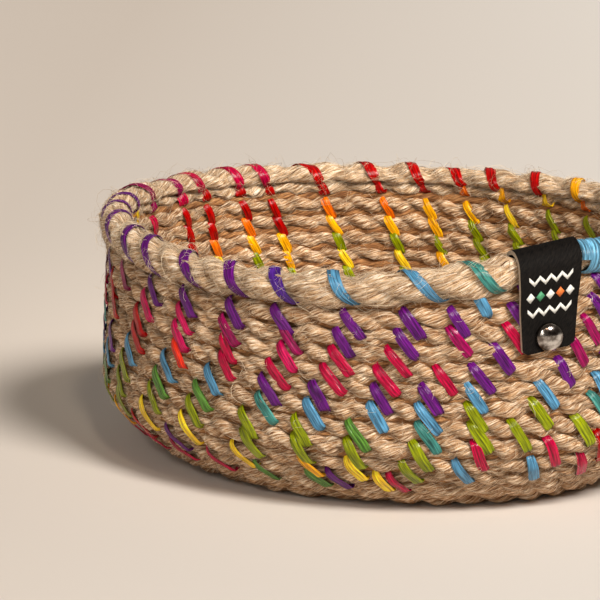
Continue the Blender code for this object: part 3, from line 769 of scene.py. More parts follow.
def wall_stitch(batch, crest_turn, side):
    """A stitch over one row, leaning; side is 1 outside the basket and -1 inside."""
    section = np.array(OUTER_SECTION if side > 0 else INNER_SECTION)
    share = np.linspace(0, 1, STITCH_STEPS)
    knots = np.linspace(0, 1, len(section))
    rows = np.interp(share, knots, section[:, 0])
    offset = np.interp(share, knots, section[:, 1]) / 1000
    lean = STITCH_LEAN * RANDOM.uniform(0.8, 1.2) * (1 if side > 0 else -INNER_LEAN_SHARE)
    bow = RANDOM.normal() * STITCH_BOW * np.sin(math.pi * share)
    turns = further(crest_turn, lean * rows / STITCH_ROWS + bow)
    point, out, _ = wall_frame(ROPE_PITCH * (turns + rows), turns)
    normal = out * side
    path = point + normal * offset[:, None]
    to_end = np.minimum(share, 1 - share)
    taper = END_WIDTH_SHARE + (1 - END_WIDTH_SHARE) * np.clip(to_end / TAPER_SHARE, 0, 1) ** TAPER_POWER
    width = RIBBON_WIDTH * RANDOM.uniform(0.88, 1.12) * taper * (1 if side > 0 else INNER_WIDTH_SHARE)
    add_ribbon(batch, path, normal, width)


# Stitches of the rim

RIM_STITCH_LEAN = 0.0205
RIM_LEAN_POWER = 0.72
RIM_TOP_SHARE = 0.60
RIM_STITCH_STEPS = 28
RIM_STITCH_ARC = (math.radians(-80), math.radians(203))
RIM_STITCH_SINK = 0.0024
SINK_SHARE = 0.05
RIM_SWELL_SHARE = 0.2
UNDER_STITCH_ARC = (math.radians(192), math.radians(246))
UNDER_STITCH_LEAN = 0.0034
SMOOTHING = np.array([1, 2, 3, 2, 1]) / 9


def between(grid, ring, side):
    """Points of a strand's surface between its rings and sides."""
    low = ring.astype(int)
    left = np.floor(side).astype(int)
    part = (ring - low)[..., None]
    over = (side - left)[..., None]
    sides = grid.shape[1]
    here = grid[low, left % sides] * (1 - over) + grid[low, (left + 1) % sides] * over
    there = grid[low + 1, left % sides] * (1 - over) + grid[low + 1, (left + 1) % sides] * over
    return here * (1 - part) + there * part


def roll_height(roll, turns, angle):
    """Greatest distance of the roll's surface from its middle over a ribbon's width."""
    found = []
    for shift in (-0.5, 0.0, 0.5):
        place = (turns + shift * RIBBON_WIDTH / TURN_LENGTH - TAB_TURN) % 1.0
        ring = np.clip(place * (len(roll) - 1), 0, len(roll) - 1.001)
        side = (angle + math.pi / 2) / (2 * math.pi) * RIM_SIDES
        centre, _ = rim_centre(TAB_TURN - 1 + place)
        found.append(np.linalg.norm(between(roll, ring, side) - centre, axis=-1))
    return np.convolve(np.pad(np.max(found, axis=0), 2, mode="edge"), SMOOTHING, mode="valid")


def rim_stitch(batch, base_turn, lean, roll, arc):
    """A stitch over an arc of the rim roll, from the groove under it or inside it."""
    angle = np.linspace(*arc, RIM_STITCH_STEPS)
    lean = lean * RANDOM.uniform(0.9, 1.1)
    share = (angle - angle[0]) / (angle[-1] - angle[0])
    turns = base_turn + lean * share**RIM_LEAN_POWER / TURN_LENGTH
    centre, out = rim_centre(turns)
    normal = spokes(out, angle)
    sink = np.clip((np.abs(share - 0.5) - (0.5 - SINK_SHARE)) / SINK_SHARE, 0, 1) * RIM_STITCH_SINK
    path = centre + normal * (roll_height(roll, turns, angle) + RIBBON_THICKNESS - sink)[:, None]
    swell = 1 - RIM_SWELL_SHARE + RIM_SWELL_SHARE * np.sin(math.pi * share) ** 0.5
    add_ribbon(batch, path, normal, RIBBON_WIDTH * RANDOM.uniform(0.95, 1.15) * swell)


# Places of the stitches, as the pixel columns where the photograph shows them, after the name of their ink
SLIGHT_LEAN = 0.0158
STRONG_LEAN = 0.0226
# Lower ends of the rim stitches at the front, with their lean
FRONT_RIM_PIXELS = (
    ("purple 149 172 210 256, violet 304, blue 364", SLIGHT_LEAN),
    ("blue 451, teal 509", STRONG_LEAN),
)
# Tops of the outer stitches, row by row below the rim
FRONT_ROW_PIXELS = (
    "magenta 123, purple 150 180 226 272 340 400, blue 468, purple 517 595",
    "red 114, pink 143 177, magenta 220 280, purple 333 396 448 510 590",
    "red 115 136, pink 173, crimson 220, pink 278, crimson 329 385, magenta 447, crimson 504, magenta 583",
    "teal 108, red 134, flame 172, crimson 219 267 322 374 433, purple 491, magenta 570",
    "blue 127 161 204, purple 258 308 370 419 470 556",
    "lime 122, green 154 193, teal 256, blue 303 366 417 463 536 594",
    "lime 119 148 187 238 291, green 346, teal 416, lime 465 530, teal 590",
    "yellow 141 179, lime 241 290 343 410 470 509 574",
    "red 130, purple 163, yellow 230, gold 296, yellow 345, lime 400, crimson 472 545, red 597",
    "green 250 303, purple 325, yellow 372, crimson 388, blue 455 529",
)
BACK_ROW_INKS = "purple magenta crimson red purple blue green lime gold crimson".split()
# Rim stitches at the back by the pixel of their top, and the inks of the inner column below each
BACK_COLUMN_PIXELS = (
    (135, "magenta", "magenta crimson red red red orange yellow"),
    (165, "magenta", "crimson red red red orange yellow lime"),
    (187, "crimson", "red red red orange yellow lime lime"),
    (222, "crimson", "red red orange gold lime yellow lime"),
    (252, "crimson", "red red red gold gold lime lime"),
    (306, "red", "red orange gold lime yellow lime lime"),
    (364, "red", "red orange gold lime yellow lime yellow"),
    (408, "red", "red gold gold lime gold lime yellow"),
    (451, "red", "orange gold lime lime lime yellow lime"),
    (493, "red", "gold yellow lime lime yellow lime lime"),
    (538, "red", "yellow lime lime lime yellow lime lime"),
    (580, "gold", "orange lime lime lime yellow lime lime"),
)
UNSEEN_COLUMN = "gold yellow yellow lime lime green green teal teal blue blue violet purple".split()
INNER_DRIFT = 0.0021
INNER_FIRST_SHIFT = 0.0085
INNER_KEPT_SHARE = 1.05
UNDER_FIRST_SHIFT = 0.0045
CREST_LEAN_SHARE = 0.35
ROW_CREST_SHARE = 0.8
LOOP_SAMPLES = 1441
WIDE_GAP = 2.2
WRAP_CLEAR_TURNS = 0.006
STITCH_SPACING = 1 / STITCHES_PER_TURN
TAB_CLEAR_TURNS = (TAB_TOP_WIDTH / 2 + TAB_MARGIN) / TURN_LENGTH


def pixel_marks(line):
    """Ink and pixel column of each stitch in a line of places."""
    groups = [group.split() for group in line.split(",")]
    return [(name, int(x)) for name, *columns in groups for x in columns]


def turn_at_pixel(rule, x, front):
    """Turn in the last loop where a line round the basket passes a pixel column, in front or behind."""
    turns = np.linspace(LAST_TURN - 1, LAST_TURN, LOOP_SAMPLES)
    near = (outward(turns) @ CAMERA_BACK > 0) == front
    miss = np.where(near, np.abs(pixel_column(rule(turns)) - x), np.inf)
    return float(turns[int(np.argmin(miss))])


def fill_round(marks):
    """More turn numbers, to carry on a row of marks round the part of the loop that has none."""
    marks = sorted(marks)
    extra = []
    for first, second in zip(marks, marks[1:] + [marks[0] + 1]):
        count = int(round((second - first) / STITCH_SPACING))
        if second - first > WIDE_GAP * STITCH_SPACING:
            extra += [first + (second - first) * step / count for step in range(1, count)]
    return extra


def from_tab(turn):
    """Turns from the tab to a place on the loop, within half a turn each way."""
    return (turn - TAB_TURN + 0.5) % 1.0 - 0.5


def row_line(row):
    """Rule for the groove above a row, counted down from the rim."""

    def rule(turns):
        below = turns - row
        point, out, _ = wall_frame(ROPE_PITCH * (below + 0.5), below)
        return point + out * ROPE_RADIUS * ROW_CREST_SHARE

    return rule


def rim_line(side):
    """Rule for the rim roll's top (1) or underside (-1)."""
    return lambda turns: rim_centre(turns)[0] + UPWARD * RIM_RADIUS * side


def plan_outer():
    """Ink and turn number of the stitches outside the wall."""
    planned = []
    for row, line in enumerate(FRONT_ROW_PIXELS):
        found = [(name, turn_at_pixel(row_line(row), x, True)) for name, x in pixel_marks(line)]
        found += [(BACK_ROW_INKS[row], place) for place in fill_round([place for _, place in found])]
        for name, place in found:
            planned.append((name, float(further(place - row, -STITCH_LEAN * CREST_LEAN_SHARE))))
    return planned


def plan_rim(tops):
    """Ink, turn number and lean of the stitches over the rim roll."""
    found = []
    for line, lean in FRONT_RIM_PIXELS:
        found += [(name, turn_at_pixel(rim_line(-1), x, True), lean) for name, x in pixel_marks(line)]
    for (_, name, _), top in zip(BACK_COLUMN_PIXELS, tops):
        base = top - RIM_STITCH_LEAN * RIM_TOP_SHARE**RIM_LEAN_POWER / TURN_LENGTH
        found.append((name, base, RIM_STITCH_LEAN))
    for place in fill_round([place for _, place, _ in found]):
        left = pixel_column(rim_centre(place)[0]) < IMAGE_SIDE / 2
        found.append(("purple" if left else "gold", place, RIM_STITCH_LEAN))
    bound = -(TAB_CLEAR_TURNS + WRAP_LENGTH / TURN_LENGTH + WRAP_CLEAR_TURNS)
    return [
        entry for entry in found
        if abs(from_tab(entry[1])) > TAB_CLEAR_TURNS and not bound < from_tab(entry[1]) < 0
    ]


def plan_inner(tops):
    """Stitches inside the wall, in columns, and those under the roll."""
    inner, under = [], []
    columns = [(place, inks.split()) for place, (_, _, inks) in zip(tops, BACK_COLUMN_PIXELS)]
    columns += [(place, UNSEEN_COLUMN) for place in fill_round(tops)]
    for place, names in columns:
        if abs(from_tab(place)) > TAB_CLEAR_TURNS:
            under.append((names[0], place + UNDER_FIRST_SHIFT / TURN_LENGTH, UNDER_STITCH_LEAN))
        for row in range(int(LAST_TURN) - 2):
            name = names[row + 1] if row + 1 < len(names) else UNSEEN_COLUMN[row % len(UNSEEN_COLUMN)]
            share = row_radius(LAST_TURN - row) / RIM_PATH_RADIUS
            if RANDOM.uniform() < share * INNER_KEPT_SHARE:
                inner.append((name, place - row + (INNER_FIRST_SHIFT + INNER_DRIFT * row) / TURN_LENGTH))
    return inner, under


# The CAD's nodes that pieces of ribbon stand for
REPLACED = {
    "outer_ribbon_purple": ("wall_stitches_purple", "wall_stitches_violet"),
    "outer_ribbon_crimson": ("wall_stitches_crimson",),
    "outer_ribbon_green": ("wall_stitches_green",),
    "outer_ribbon_yellow": ("wall_stitches_yellow",),
    "rim_ribbon_blue": ("rim_stitches_blue",),
    "rim_ribbon_purple": ("rim_stitches_purple",),
    "rim_ribbon_magenta": ("rim_stitches_magenta",),
    "rim_ribbon_red": ("rim_stitches_red",),
    "rim_ribbon_gold": ("rim_stitches_yellow",),
}


def make_stitches(place, stitches, finishes, sew, *values):
    """One piece for each ink among the stitches of a place, each made by sew."""
    for ink, (_, slot_name) in INKS.items():
        batch = Batch()
        for name, *where in stitches:
            if name == ink:
                sew(batch, *where, *values)
        if batch.count:
            piece = f"{place}_ribbon_{ink}"
            batch.build(piece, finishes[ink], slot_name, REPLACED.get(piece, ()), RIBBON_EDGE_ANGLE)


# Strap tab

TAB_END_WIDTH = 0.0190
TAB_THICKNESS = 0.0015
TAB_DROP = 0.0280
TAB_STANDOFF = 0.0003
TAB_ROWS = 4
TAB_SLANT_START = 0.0060
TAB_SLANT_HEIGHT = 0.0080
TAB_SLANT_SHARE = 0.8
TAB_CORNER_RADIUS = 0.0020
TAB_CORNER_POINTS = 5
TAB_LEG_POINTS = 26
TAB_FOLD_POINTS = 21
TAB_FOLD_GAP = 0.0005
TAB_ACROSS_SHARES = np.array([-1.0, -0.97, -0.6, -0.2, 0.2, 0.6, 0.97, 1.0])
STRAP_LENGTH = 0.08
GRAIN_CELLS = (420, 2600)
GRAIN_TURN = math.radians(38)
GRAIN_BUMP = 0.0005
SPECK_CELLS = 1800
MOTTLE_CELLS = 900
MOTTLE_DEEP_SHARE = 0.8
FINE_BUMP = 0.0001


def tab_frame():
    """Middle of the rim roll under the tab, the level way out, and the way along."""
    start, _ = rim_centre(TAB_TURN - TAB_HALF_TURNS)
    end, _ = rim_centre(TAB_TURN + TAB_HALF_TURNS)
    along = unit(end - start)
    out = unit(np.array([-along[1], along[0], 0.0]))
    if out @ outward(TAB_TURN) < 0:
        out = -out
    return (start + end) / 2, out, along


def leg_offset(side):
    """From the roll's middle to the tab's lining, clear of the rope in front (1) or inside (-1)."""
    middle, out, _ = tab_frame()
    rows = np.arange(TAB_ROWS)[:, None]
    turns = TAB_TURN - rows + np.array([-TAB_HALF_TURNS, 0.0, TAB_HALF_TURNS])[None, :]
    centre, _, _ = wall_frame(ROPE_PITCH * turns, turns)
    return float(np.max(side * ((centre - middle) @ out)) + ROPE_RADIUS + TAB_STANDOFF)


def tab_leg(side, offset, fold):
    """Outline of one leg from its end up to the fold, as distances out of the roll and up."""
    leg = leg_offset(side) + offset
    drop = np.linspace(TAB_DROP, 0, TAB_LEG_POINTS)[:-1]
    slant = smooth_step((TAB_SLANT_START + TAB_SLANT_HEIGHT - drop) / TAB_SLANT_HEIGHT * TAB_SLANT_SHARE)
    return np.stack([leg + (fold - leg) * slant, -drop], axis=-1)


def tab_path(offset):
    """Outline of the folded tab, from its front end over the roll to its back end."""
    fold = RIM_RADIUS + TAB_FOLD_GAP + offset
    angles = np.linspace(0, math.pi, TAB_FOLD_POINTS)
    arc = np.stack([fold * np.cos(angles), fold * np.sin(angles)], axis=-1)
    back = tab_leg(-1, offset, fold)[::-1] * np.array([-1.0, 1.0])
    return np.concatenate([tab_leg(1, offset, fold), arc, back])


def tab_points(offset):
    """Points of the tab's sheet at an offset from its lining."""
    middle, out, along = tab_frame()
    path = tab_path(offset)
    index = np.arange(len(path))
    drop = np.clip(-path[:, 1], 0, None)
    half = (TAB_TOP_WIDTH + (TAB_END_WIDTH - TAB_TOP_WIDTH) * drop / TAB_DROP) / 2
    to_end = TAB_DROP - drop
    at_end = (np.minimum(index, index[::-1]) < TAB_CORNER_POINTS) & (to_end < TAB_CORNER_RADIUS)
    cut = np.where(at_end, TAB_CORNER_RADIUS - to_end, 0.0)
    half = half - (TAB_CORNER_RADIUS - np.sqrt(np.clip(TAB_CORNER_RADIUS**2 - cut**2, 0, None)))
    points = middle + out * path[:, None, 0:1] + UPWARD * path[:, None, 1:2]
    return points + along * (half[:, None] * TAB_ACROSS_SHARES[None, :])[..., None]


def leather_material():
    """Black coated strap with a fine slanting grain."""
    finish = Finish("black_leather", 0.62, 0.09)
    grain = finish.stretched_noise(GRAIN_CELLS, 2.0, GRAIN_TURN)
    speck = finish.solid_noise(SPECK_CELLS)
    finish.paint(finish.ramp(grain, (0.35, colour((3, 2, 2))), (0.65, colour((24, 20, 17)))))
    finish.bump(grain, 0.8, GRAIN_BUMP)
    finish.bump(speck, 0.25, FINE_BUMP)
    return finish.material


def plain_material(name, screen, roughness):
    """One colour with a fine mottle and a little unevenness."""
    finish = Finish(name, roughness)
    mottle = finish.solid_noise(MOTTLE_CELLS)
    finish.paint(finish.ramp(mottle, (0.35, colour(screen, MOTTLE_DEEP_SHARE)), (0.6, colour(screen))))
    finish.bump(mottle, 0.2, FINE_BUMP)
    return finish.material


def make_tab():
    """The strap folded over the rim, with its pale cut edges."""
    rings = np.concatenate([tab_points(TAB_THICKNESS), tab_points(0.0)[:, ::-1]], axis=1)
    shares = TAB_ACROSS_SHARES
    across = np.concatenate([shares, shares[::-1]]) * TAB_TOP_WIDTH / 2
    batch = Batch().add_tube(rings, np.linspace(0, STRAP_LENGTH, len(rings)), across)
    mesh = batch.build("tab_leather", leather_material(), "leather", ("tab_strap",)).data
    mesh.materials.append(plain_material("cut_edge", (176, 160, 140), 0.8))
    sides = len(across)
    edge_columns = {sides // 2 - 1, sides - 1}
    for index, polygon in enumerate(mesh.polygons):
        if index < (len(rings) - 1) * sides and index % sides in edge_columns:
            polygon.material_index = 1
            polygon.use_smooth = False


# Print on the tab

PRINT_STANDOFF = 0.00005
PRINT_THICKNESS = 0.00008
MOTIF_HALF_WIDTH = 0.0080
MOTIF_STROKE = 0.0014
MOTIF_TEETH = 4
MOTIF_TOOTH = 0.0021
DIAMOND_SIZE = 0.0016
DIAMOND_TALL_SHARE = 1.15
DIAMOND_PITCH = 0.0036
DIAMONDS = ("white", "orange", "white", "green", "white")
MOTIF_TOP = 0.0012
MOTIF_STEP = 0.0066
PRINT_INKS = {"white": (226, 224, 216), "orange": (224, 112, 40), "green": (72, 148, 104)}


def print_patch(batch, corners):
    """A thin flat shape on the tab's face, from corners across and down from the fold."""
    middle, out, along = tab_frame()
    leg = tab_path(TAB_THICKNESS + PRINT_STANDOFF)[:TAB_LEG_POINTS][::-1]
    across, down = np.array(corners).T
    offset = np.interp(down, -leg[:, 1], leg[:, 0])
    base = middle + out * offset[:, None] + along * across[:, None] - UPWARD * down[:, None]
    points = np.concatenate([base, base + out * PRINT_THICKNESS])
    count = len(corners)
    fan = fan_faces(count)
    batch.add(points, points[:, :2], fan[:, ::-1], fan + count, tube_faces(2, count))


def zigzag(batch, down, height):
    """A zigzag line across the tab."""
    count = 2 * MOTIF_TEETH + 1
    xs = np.linspace(-MOTIF_HALF_WIDTH, MOTIF_HALF_WIDTH, count)
    ys = down + np.where(np.arange(count) % 2, height, 0.0)
    for left, right, up, low in zip(xs, xs[1:], ys, ys[1:]):
        foot = [(right, low + MOTIF_STROKE), (left, up + MOTIF_STROKE)]
        print_patch(batch, [(left, up), (right, low)] + foot)


def diamond(batch, across, down):
    tall = DIAMOND_SIZE * DIAMOND_TALL_SHARE
    left = across - DIAMOND_SIZE
    right = across + DIAMOND_SIZE
    print_patch(batch, [(left, down), (across, down - tall), (right, down), (across, down + tall)])


def make_motif():
    """A plain border pattern of zigzags and diamonds."""
    batches = {name: Batch() for name in PRINT_INKS}
    zigzag(batches["white"], MOTIF_TOP, MOTIF_TOOTH)
    for step, name in enumerate(DIAMONDS):
        diamond(batches[name], (step - 2) * DIAMOND_PITCH, MOTIF_TOP + MOTIF_STEP + MOTIF_STROKE / 2)
    zigzag(batches["white"], MOTIF_TOP + 2 * MOTIF_STEP - MOTIF_TOOTH, MOTIF_TOOTH)
    for name, batch in batches.items():
        batch.build(f"tab_print_{name}", plain_material(f"print_{name}", PRINT_INKS[name], 0.6), "leather")


# Rivet

RIVET_ROWS_BELOW_TOP = 3
RIVET_LIFT = 0.0014
RIVET_DOME_RADIUS = 0.0050
RIVET_DOME_HEIGHT = 0.0034
# Height over the tab's face and share of the radius, up the edge
RIVET_EDGE = ((-0.0002, 0.9), (0.0001, 1.0), (0.0005, 1.01))
RIVET_EDGE_HEIGHT = 0.0008
RIVET_CROWN_SHARE = 0.985
RIVET_TIP_SHARE = 0.02
RIVET_CROWN_RINGS = 12
RIVET_SIDES = 48
RIVET_RING_LENGTH = 0.001
WEAR_AND_REFLECTION_CELLS = 230
WEAR_BUMP = 0.0003


def chrome_material():
    """Bright plated metal, lightly worn, with patches darkened to brown as painted reflection."""
    finish = Finish("plated_metal", 0.16)
    finish.shader.inputs["Metallic"].default_value = 1.0
    wear_and_reflection = finish.solid_noise(WEAR_AND_REFLECTION_CELLS, 3.0)
    # Partly wear, partly painted reflection: dark brown patches stand for dark surroundings mirrored in the
    # dome
    shades = ((0.38, (58, 46, 40)), (0.50, (120, 110, 102)), (0.62, (216, 208, 200)))
    finish.paint(finish.ramp(wear_and_reflection, *((place, colour(screen)) for place, screen in shades)))
    finish.bump(wear_and_reflection, 0.12, WEAR_BUMP)
    return finish.material


def rivet_profile():
    """Heights over the tab's face and radii of the dome's rings."""
    angle = np.linspace(0, math.pi / 2, RIVET_CROWN_RINGS)
    crown = RIVET_EDGE_HEIGHT + (RIVET_DOME_HEIGHT - RIVET_EDGE_HEIGHT) * np.sin(angle)
    crown_shares = RIVET_CROWN_SHARE * np.maximum(np.cos(angle), RIVET_TIP_SHARE)
    edge, edge_shares = np.array(RIVET_EDGE).T
    return np.concatenate([edge, crown]), np.concatenate([edge_shares, crown_shares]) * RIVET_DOME_RADIUS


def make_rivet(finish):
    """Smooth domed cap on the tab's face."""
    middle, out, _ = tab_frame()
    turn = TAB_TURN + 1 - RIVET_ROWS_BELOW_TOP
    groove = wall_point(ROPE_PITCH * (turn - 0.5), turn)
    centre = np.array([middle[0], middle[1], groove[2] + RIVET_LIFT])
    heights, radii = rivet_profile()
    centres = centre + out * (leg_offset(1) + TAB_THICKNESS + heights)[:, None]
    around = full_circle(RIVET_SIDES)
    rings = rings_round(centres, radii[:, None], np.cross(UPWARD, out), around)
    batch = Batch().add_tube(rings, np.arange(len(heights)) * RIVET_RING_LENGTH, around * RIVET_DOME_RADIUS)
    batch.build("rivet_dome", finish, "chrome", ("rivet_cap",))


# Binding ribbon

WRAP_STEPS = 28
WRAP_WOBBLE = 0.0003
WRAP_SEAT = 0.0006
WRAP_RIPPLE = 0.00012
WRAP_RIPPLE_RATE = 7.3
WRAP_SWELL_SHARE = 0.08
WRAP_SWELL_RATE = 4.1
WRAP_CROWN = 0.0008


def make_wrap(finish):
    """Blue ribbon wound round the rim roll, each turn a little out of line with the next."""
    wound = np.arange(WRAP_TURNS * WRAP_STEPS + 1) / WRAP_STEPS
    swings = RANDOM.normal(size=2 * WRAP_TURNS + 3)
    wobble = np.interp(wound, np.arange(len(swings)) / 2, swings) * WRAP_WOBBLE
    turns = WRAP_START - (wound * WRAP_PITCH + wobble) / TURN_LENGTH
    centre, out = rim_centre(turns)
    normal = spokes(out, 2 * math.pi * wound)
    height = BOUND_RIM_RADIUS + WRAP_SEAT + WRAP_RIPPLE * np.sin(wound * WRAP_RIPPLE_RATE)
    width = WRAP_WIDTH * (1 + WRAP_SWELL_SHARE * np.sin(wound * WRAP_SWELL_RATE))
    batch = Batch()
    add_ribbon(batch, centre + normal * height[:, None], normal, width, WRAP_CROWN)
    batch.build("rim_binding", finish, "blue", ("rim_wrap_ribbon",), RIBBON_EDGE_ANGLE)


# Loose fibres

FIBRE_STEPS = 7
FIBRE_RADIUS = 0.00005
FIBRE_SLANT = 0.35
FLOOR_GAP = 0.0003
FIBRE_CORNERS = np.radians([90, 210, 330])
LENGTH_SHAPE = 3.0
LIFT_SHAPE = 1.3
ARCHED_SHARE = 0.6
THINNING_SHARE = 0.6
WALL_SHARE = 0.72
ROPE_END_RINGS = 30
RIM_START_RINGS = 10
RIM_END_RINGS = 35
# Fibres that lie flat, loose ones and curls: strand, count, mean length, spread in radians, mean lift
FIBRES = (
    ("rope", 20000, 0.0065, 0.22, 0.00012),
    ("rope", 20000, 0.0060, 0.75, 0.00055),
    ("rim", 4000, 0.0080, 0.22, 0.00016),
    ("rim", 4500, 0.0075, 0.75, 0.00075),
    ("rope", 3500, 0.0100, 1.1, 0.0009),
    ("rim", 1600, 0.0110, 1.1, 0.0016),
)


def add_fibres(batch, grid, count, length, spread, lift):
    """Thin fibres that lie on a strand's surface or stand off it, slanted with its yarns."""
    rings, sides = grid.shape[:2]
    one_each = (count, 1)
    middles = grid.mean(axis=1)
    ring_step = np.linalg.norm(np.diff(middles, axis=0), axis=1).mean()
    side_step = np.linalg.norm(np.diff(grid, axis=1), axis=2).mean()
    share = np.linspace(0, 1, FIBRE_STEPS)[None, :]
    lengths = RANDOM.gamma(LENGTH_SHAPE, length / LENGTH_SHAPE, size=one_each)
    heading = FIBRE_SLANT + RANDOM.normal(size=one_each) * spread
    heading = heading + RANDOM.normal(size=one_each) * 2 * spread * share
    way = RANDOM.choice([-1.0, 1.0], size=one_each)
    run = lengths / (FIBRE_STEPS - 1)
    along = np.cumsum(np.cos(heading) * run, axis=1) * way
    across = np.cumsum(np.sin(heading) * run, axis=1) * way
    ring = np.clip(RANDOM.uniform(0, rings - 2, size=one_each) + along / ring_step, 0, rings - 1.001)
    side = RANDOM.uniform(0, sides, size=one_each) - across / side_step
    surface = between(grid, ring, side)
    low = ring.astype(int)
    part = (ring - low)[..., None]
    normal = unit(surface - (middles[low] * (1 - part) + middles[low + 1] * part))
    arch = np.where(RANDOM.uniform(size=one_each) < ARCHED_SHARE, np.sin(math.pi * share), share**1.5)
    rise = RANDOM.gamma(LIFT_SHAPE, lift / LIFT_SHAPE, size=one_each) * arch
    path = surface + normal * (rise + FIBRE_RADIUS * 0.5)[..., None]
    path[..., 2] = np.maximum(path[..., 2], FLOOR_GAP)
    sideways = unit(np.cross(np.gradient(path, axis=1), normal))
    thin = FIBRE_RADIUS * RANDOM.uniform(0.7, 1.5, size=one_each) * (1 - THINNING_SHARE * share)
    tube = path[:, :, None, :] + normal[:, :, None, :] * (thin[..., None] * np.sin(FIBRE_CORNERS))[..., None]
    tube = tube + sideways[:, :, None, :] * (thin[..., None] * np.cos(FIBRE_CORNERS))[..., None]
    shade = np.broadcast_to(RANDOM.uniform(0, 1, size=(count, 1, 1)), tube.shape[:3])
    place = np.broadcast_to(share[..., None] * lengths[..., None], tube.shape[:3])
    offsets = (np.arange(count) * FIBRE_STEPS * 3)[:, None, None]
    quads = (tube_faces(FIBRE_STEPS, 3)[None] + offsets).reshape(-1, 4)
    caps = (cap_faces(FIBRE_STEPS, 3)[None] + offsets).reshape(-1, 3)
    batch.add(tube.reshape(-1, 3), np.stack([place, shade], axis=-1).reshape(-1, 2), quads, caps)


def make_fibres(finish, rope, rim):
    """Surface fibres and loose curls on the wall and on the rim roll."""
    strands = {
        "rope": rope[-int(len(rope) * WALL_SHARE):-ROPE_END_RINGS],
        "rim": rim[RIM_START_RINGS:-RIM_END_RINGS],
    }
    batch = Batch()
    for strand, *values in FIBRES:
        add_fibres(batch, strands[strand], *values)
    batch.build("loose_fibres", finish, "jute")


# Stage

FLOOR_SIZE = 14.0
# Painted light: the floor's colour from its left side to its right, lighter to the right
FLOOR_LEFT = (208, 196, 184)
FLOOR_RIGHT = (230, 223, 215)
FLOOR_SHADE_CELLS = 2.5
# Where lights aim: away from the camera, to its right, and up
BASKET_AIM = (0.0, 0.0, 0.04)
FAR_WALL_AIM = (0.085, 0.020, 0.068)
SPOT = {"spot_size": math.radians(14), "spot_blend": 1.0, "shadow_soft_size": 0.12}
# Name, kind, degrees right of the camera and up, distance, power, colour, aim and shape
LIGHTS = (
    ("key", "SUN", 36, 41, 2.0, 3.88, (1.0, 0.965, 0.92), BASKET_AIM, {"angle": math.radians(18)}),
    ("front_fill", "AREA", -20, 22, 2.2, 7.5, (1.0, 0.97, 0.93), BASKET_AIM, {"size": 1.0}),
    ("glint", "AREA", -24, 34, 1.6, 3.2, (1.0, 0.98, 0.96), BASKET_AIM, {"size": 0.16}),
    ("inside_fill", "SPOT", 8, 42, 1.2, 46.0, (1.0, 0.86, 0.68), FAR_WALL_AIM, SPOT),
)
WORLD_COLOUR = (1.0, 0.93, 0.84, 1.0)
WORLD_STRENGTH = 0.15


def make_stage():
    """A pale floor past the picture's top edge, with painted light: a little lighter to the right."""
    finish = Finish("floor", 0.95, 0.1)
    turn = finish.node(
        "ShaderNodeMapping",
        Rotation=(0.0, 0.0, -CAMERA_AZIMUTH),
        Scale=(FLOOR_SHADE_CELLS,) * 3,
        Location=(0.5, 0.0, 0.0),
    )
    split = finish.node("ShaderNodeSeparateXYZ")
    finish.link(finish.node("ShaderNodeTexCoord").outputs["Object"], turn.inputs["Vector"])
    finish.link(turn.outputs["Vector"], split.inputs["Vector"])
    finish.paint(finish.ramp(split.outputs["X"], (0.0, colour(FLOOR_LEFT)), (1.0, colour(FLOOR_RIGHT))))
    half = FLOOR_SIZE / 2
    mesh = bpy.data.meshes.new("floor")
    corners = [(x * half, y * half, 0) for x, y in ((-1, -1), (1, -1), (1, 1), (-1, 1))]
    mesh.from_pydata(corners, [], [(0, 1, 2, 3)])
    mesh.materials.append(finish.material)
    new_object("floor", mesh)


def place_light(name, kind, azimuth, elevation, distance, power, tone, aim, shape):
    """A light that faces a point of the basket."""
    data = bpy.data.lights.new(name, kind)
    data.energy = power
    data.color = tone
    for setting, value in shape.items():
        setattr(data, setting, value)
    made = new_object(name, data)
    angle = CAMERA_AZIMUTH + math.radians(azimuth)
    rise = math.radians(elevation)
    level = math.cos(rise)
    back = Vector((math.sin(angle) * level, -math.cos(angle) * level, math.sin(rise)))
    target = AWAY * aim[0] + SIDEWAYS * aim[1] + UPWARD * aim[2]
    made.location = Vector(target) + back * distance
    made.rotation_mode = "QUATERNION"
    made.rotation_quaternion = back.to_track_quat("Z", "Y")


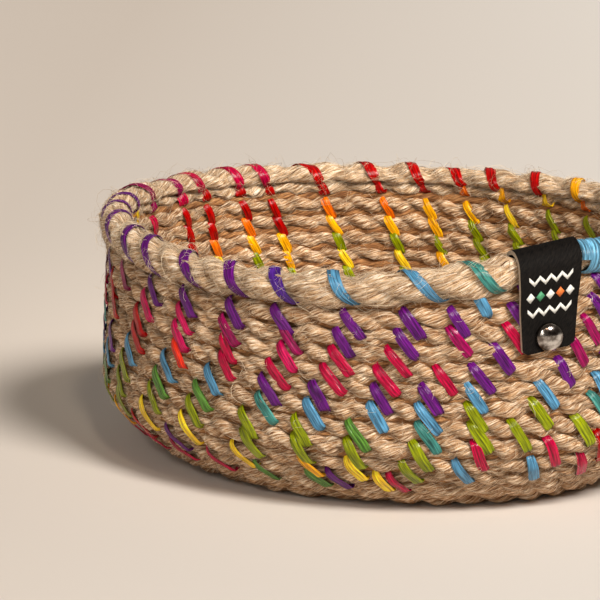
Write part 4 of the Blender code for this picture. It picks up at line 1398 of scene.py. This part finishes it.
def make_lights():
    """A soft key from the right, fill and glint from the front, and a spot on the far wall's inside."""
    for values in LIGHTS:
        place_light(*values)
    world = bpy.data.worlds.new("world")
    world.use_nodes = True
    background = world.node_tree.nodes["Background"]
    background.inputs["Color"].default_value = WORLD_COLOUR
    background.inputs["Strength"].default_value = WORLD_STRENGTH
    bpy.context.scene.world = world
    bpy.context.scene.view_settings.view_transform = "Standard"


# Basket

RIM_CROSSING_SHARE = 0.3
BINDING_BLUE = (84, 132, 158)


def make_basket():
    """Rope and roll, then the ribbon, the tab and its rivet, and last the loose fibres."""
    outer = plan_outer()
    tops = [turn_at_pixel(rim_line(1), x, False) for x, _, _ in BACK_COLUMN_PIXELS]
    rim = plan_rim(tops)
    inner, under = plan_inner(tops)
    entries = [float(further(turn - 1, STITCH_LEAN * ENTRY_ROWS / STITCH_ROWS)) for _, turn in outer]
    starts = [float(further(turn, STITCH_LEAN * START_ROWS / STITCH_ROWS)) for _, turn in outer]
    crossings = [turn for _, turn in outer + inner] + entries
    turns, travel, rope = make_rope(jute_material("jute"), crossings, entries, starts)
    # The groove strand's darker jute is painted shade in the valleys between rows
    make_groove_shade_strand(jute_material("groove_shade_jute"), turns, travel)
    rim_crossings = [turn + lean * RIM_CROSSING_SHARE / TURN_LENGTH for _, turn, lean in rim]
    roll = make_rim_roll(jute_material("rim_jute"), rim_crossings)
    finishes = {name: ribbon_material(f"ribbon_{name}", screen) for name, (screen, _) in INKS.items()}
    make_stitches("outer", outer, finishes, wall_stitch, 1)
    make_stitches("inner", inner, finishes, wall_stitch, -1)
    make_stitches("rim", rim, finishes, rim_stitch, roll, RIM_STITCH_ARC)
    make_stitches("under", under, finishes, rim_stitch, roll, UNDER_STITCH_ARC)
    # The binding's crease ramp carries a stronger painted highlight than the stitches'
    make_wrap(ribbon_material("binding_blue", BINDING_BLUE, BINDING_GLINT))
    make_tab()
    make_motif()
    chrome = chrome_material()
    make_rivet(chrome)
    for name in ("rivet_shank", "rivet_back_plate"):
        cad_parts[name].data.materials.clear()
        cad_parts[name].data.materials.append(chrome)
    make_fibres(fibre_material(), rope, roll)


make_camera()
make_stage()
make_lights()
make_basket()
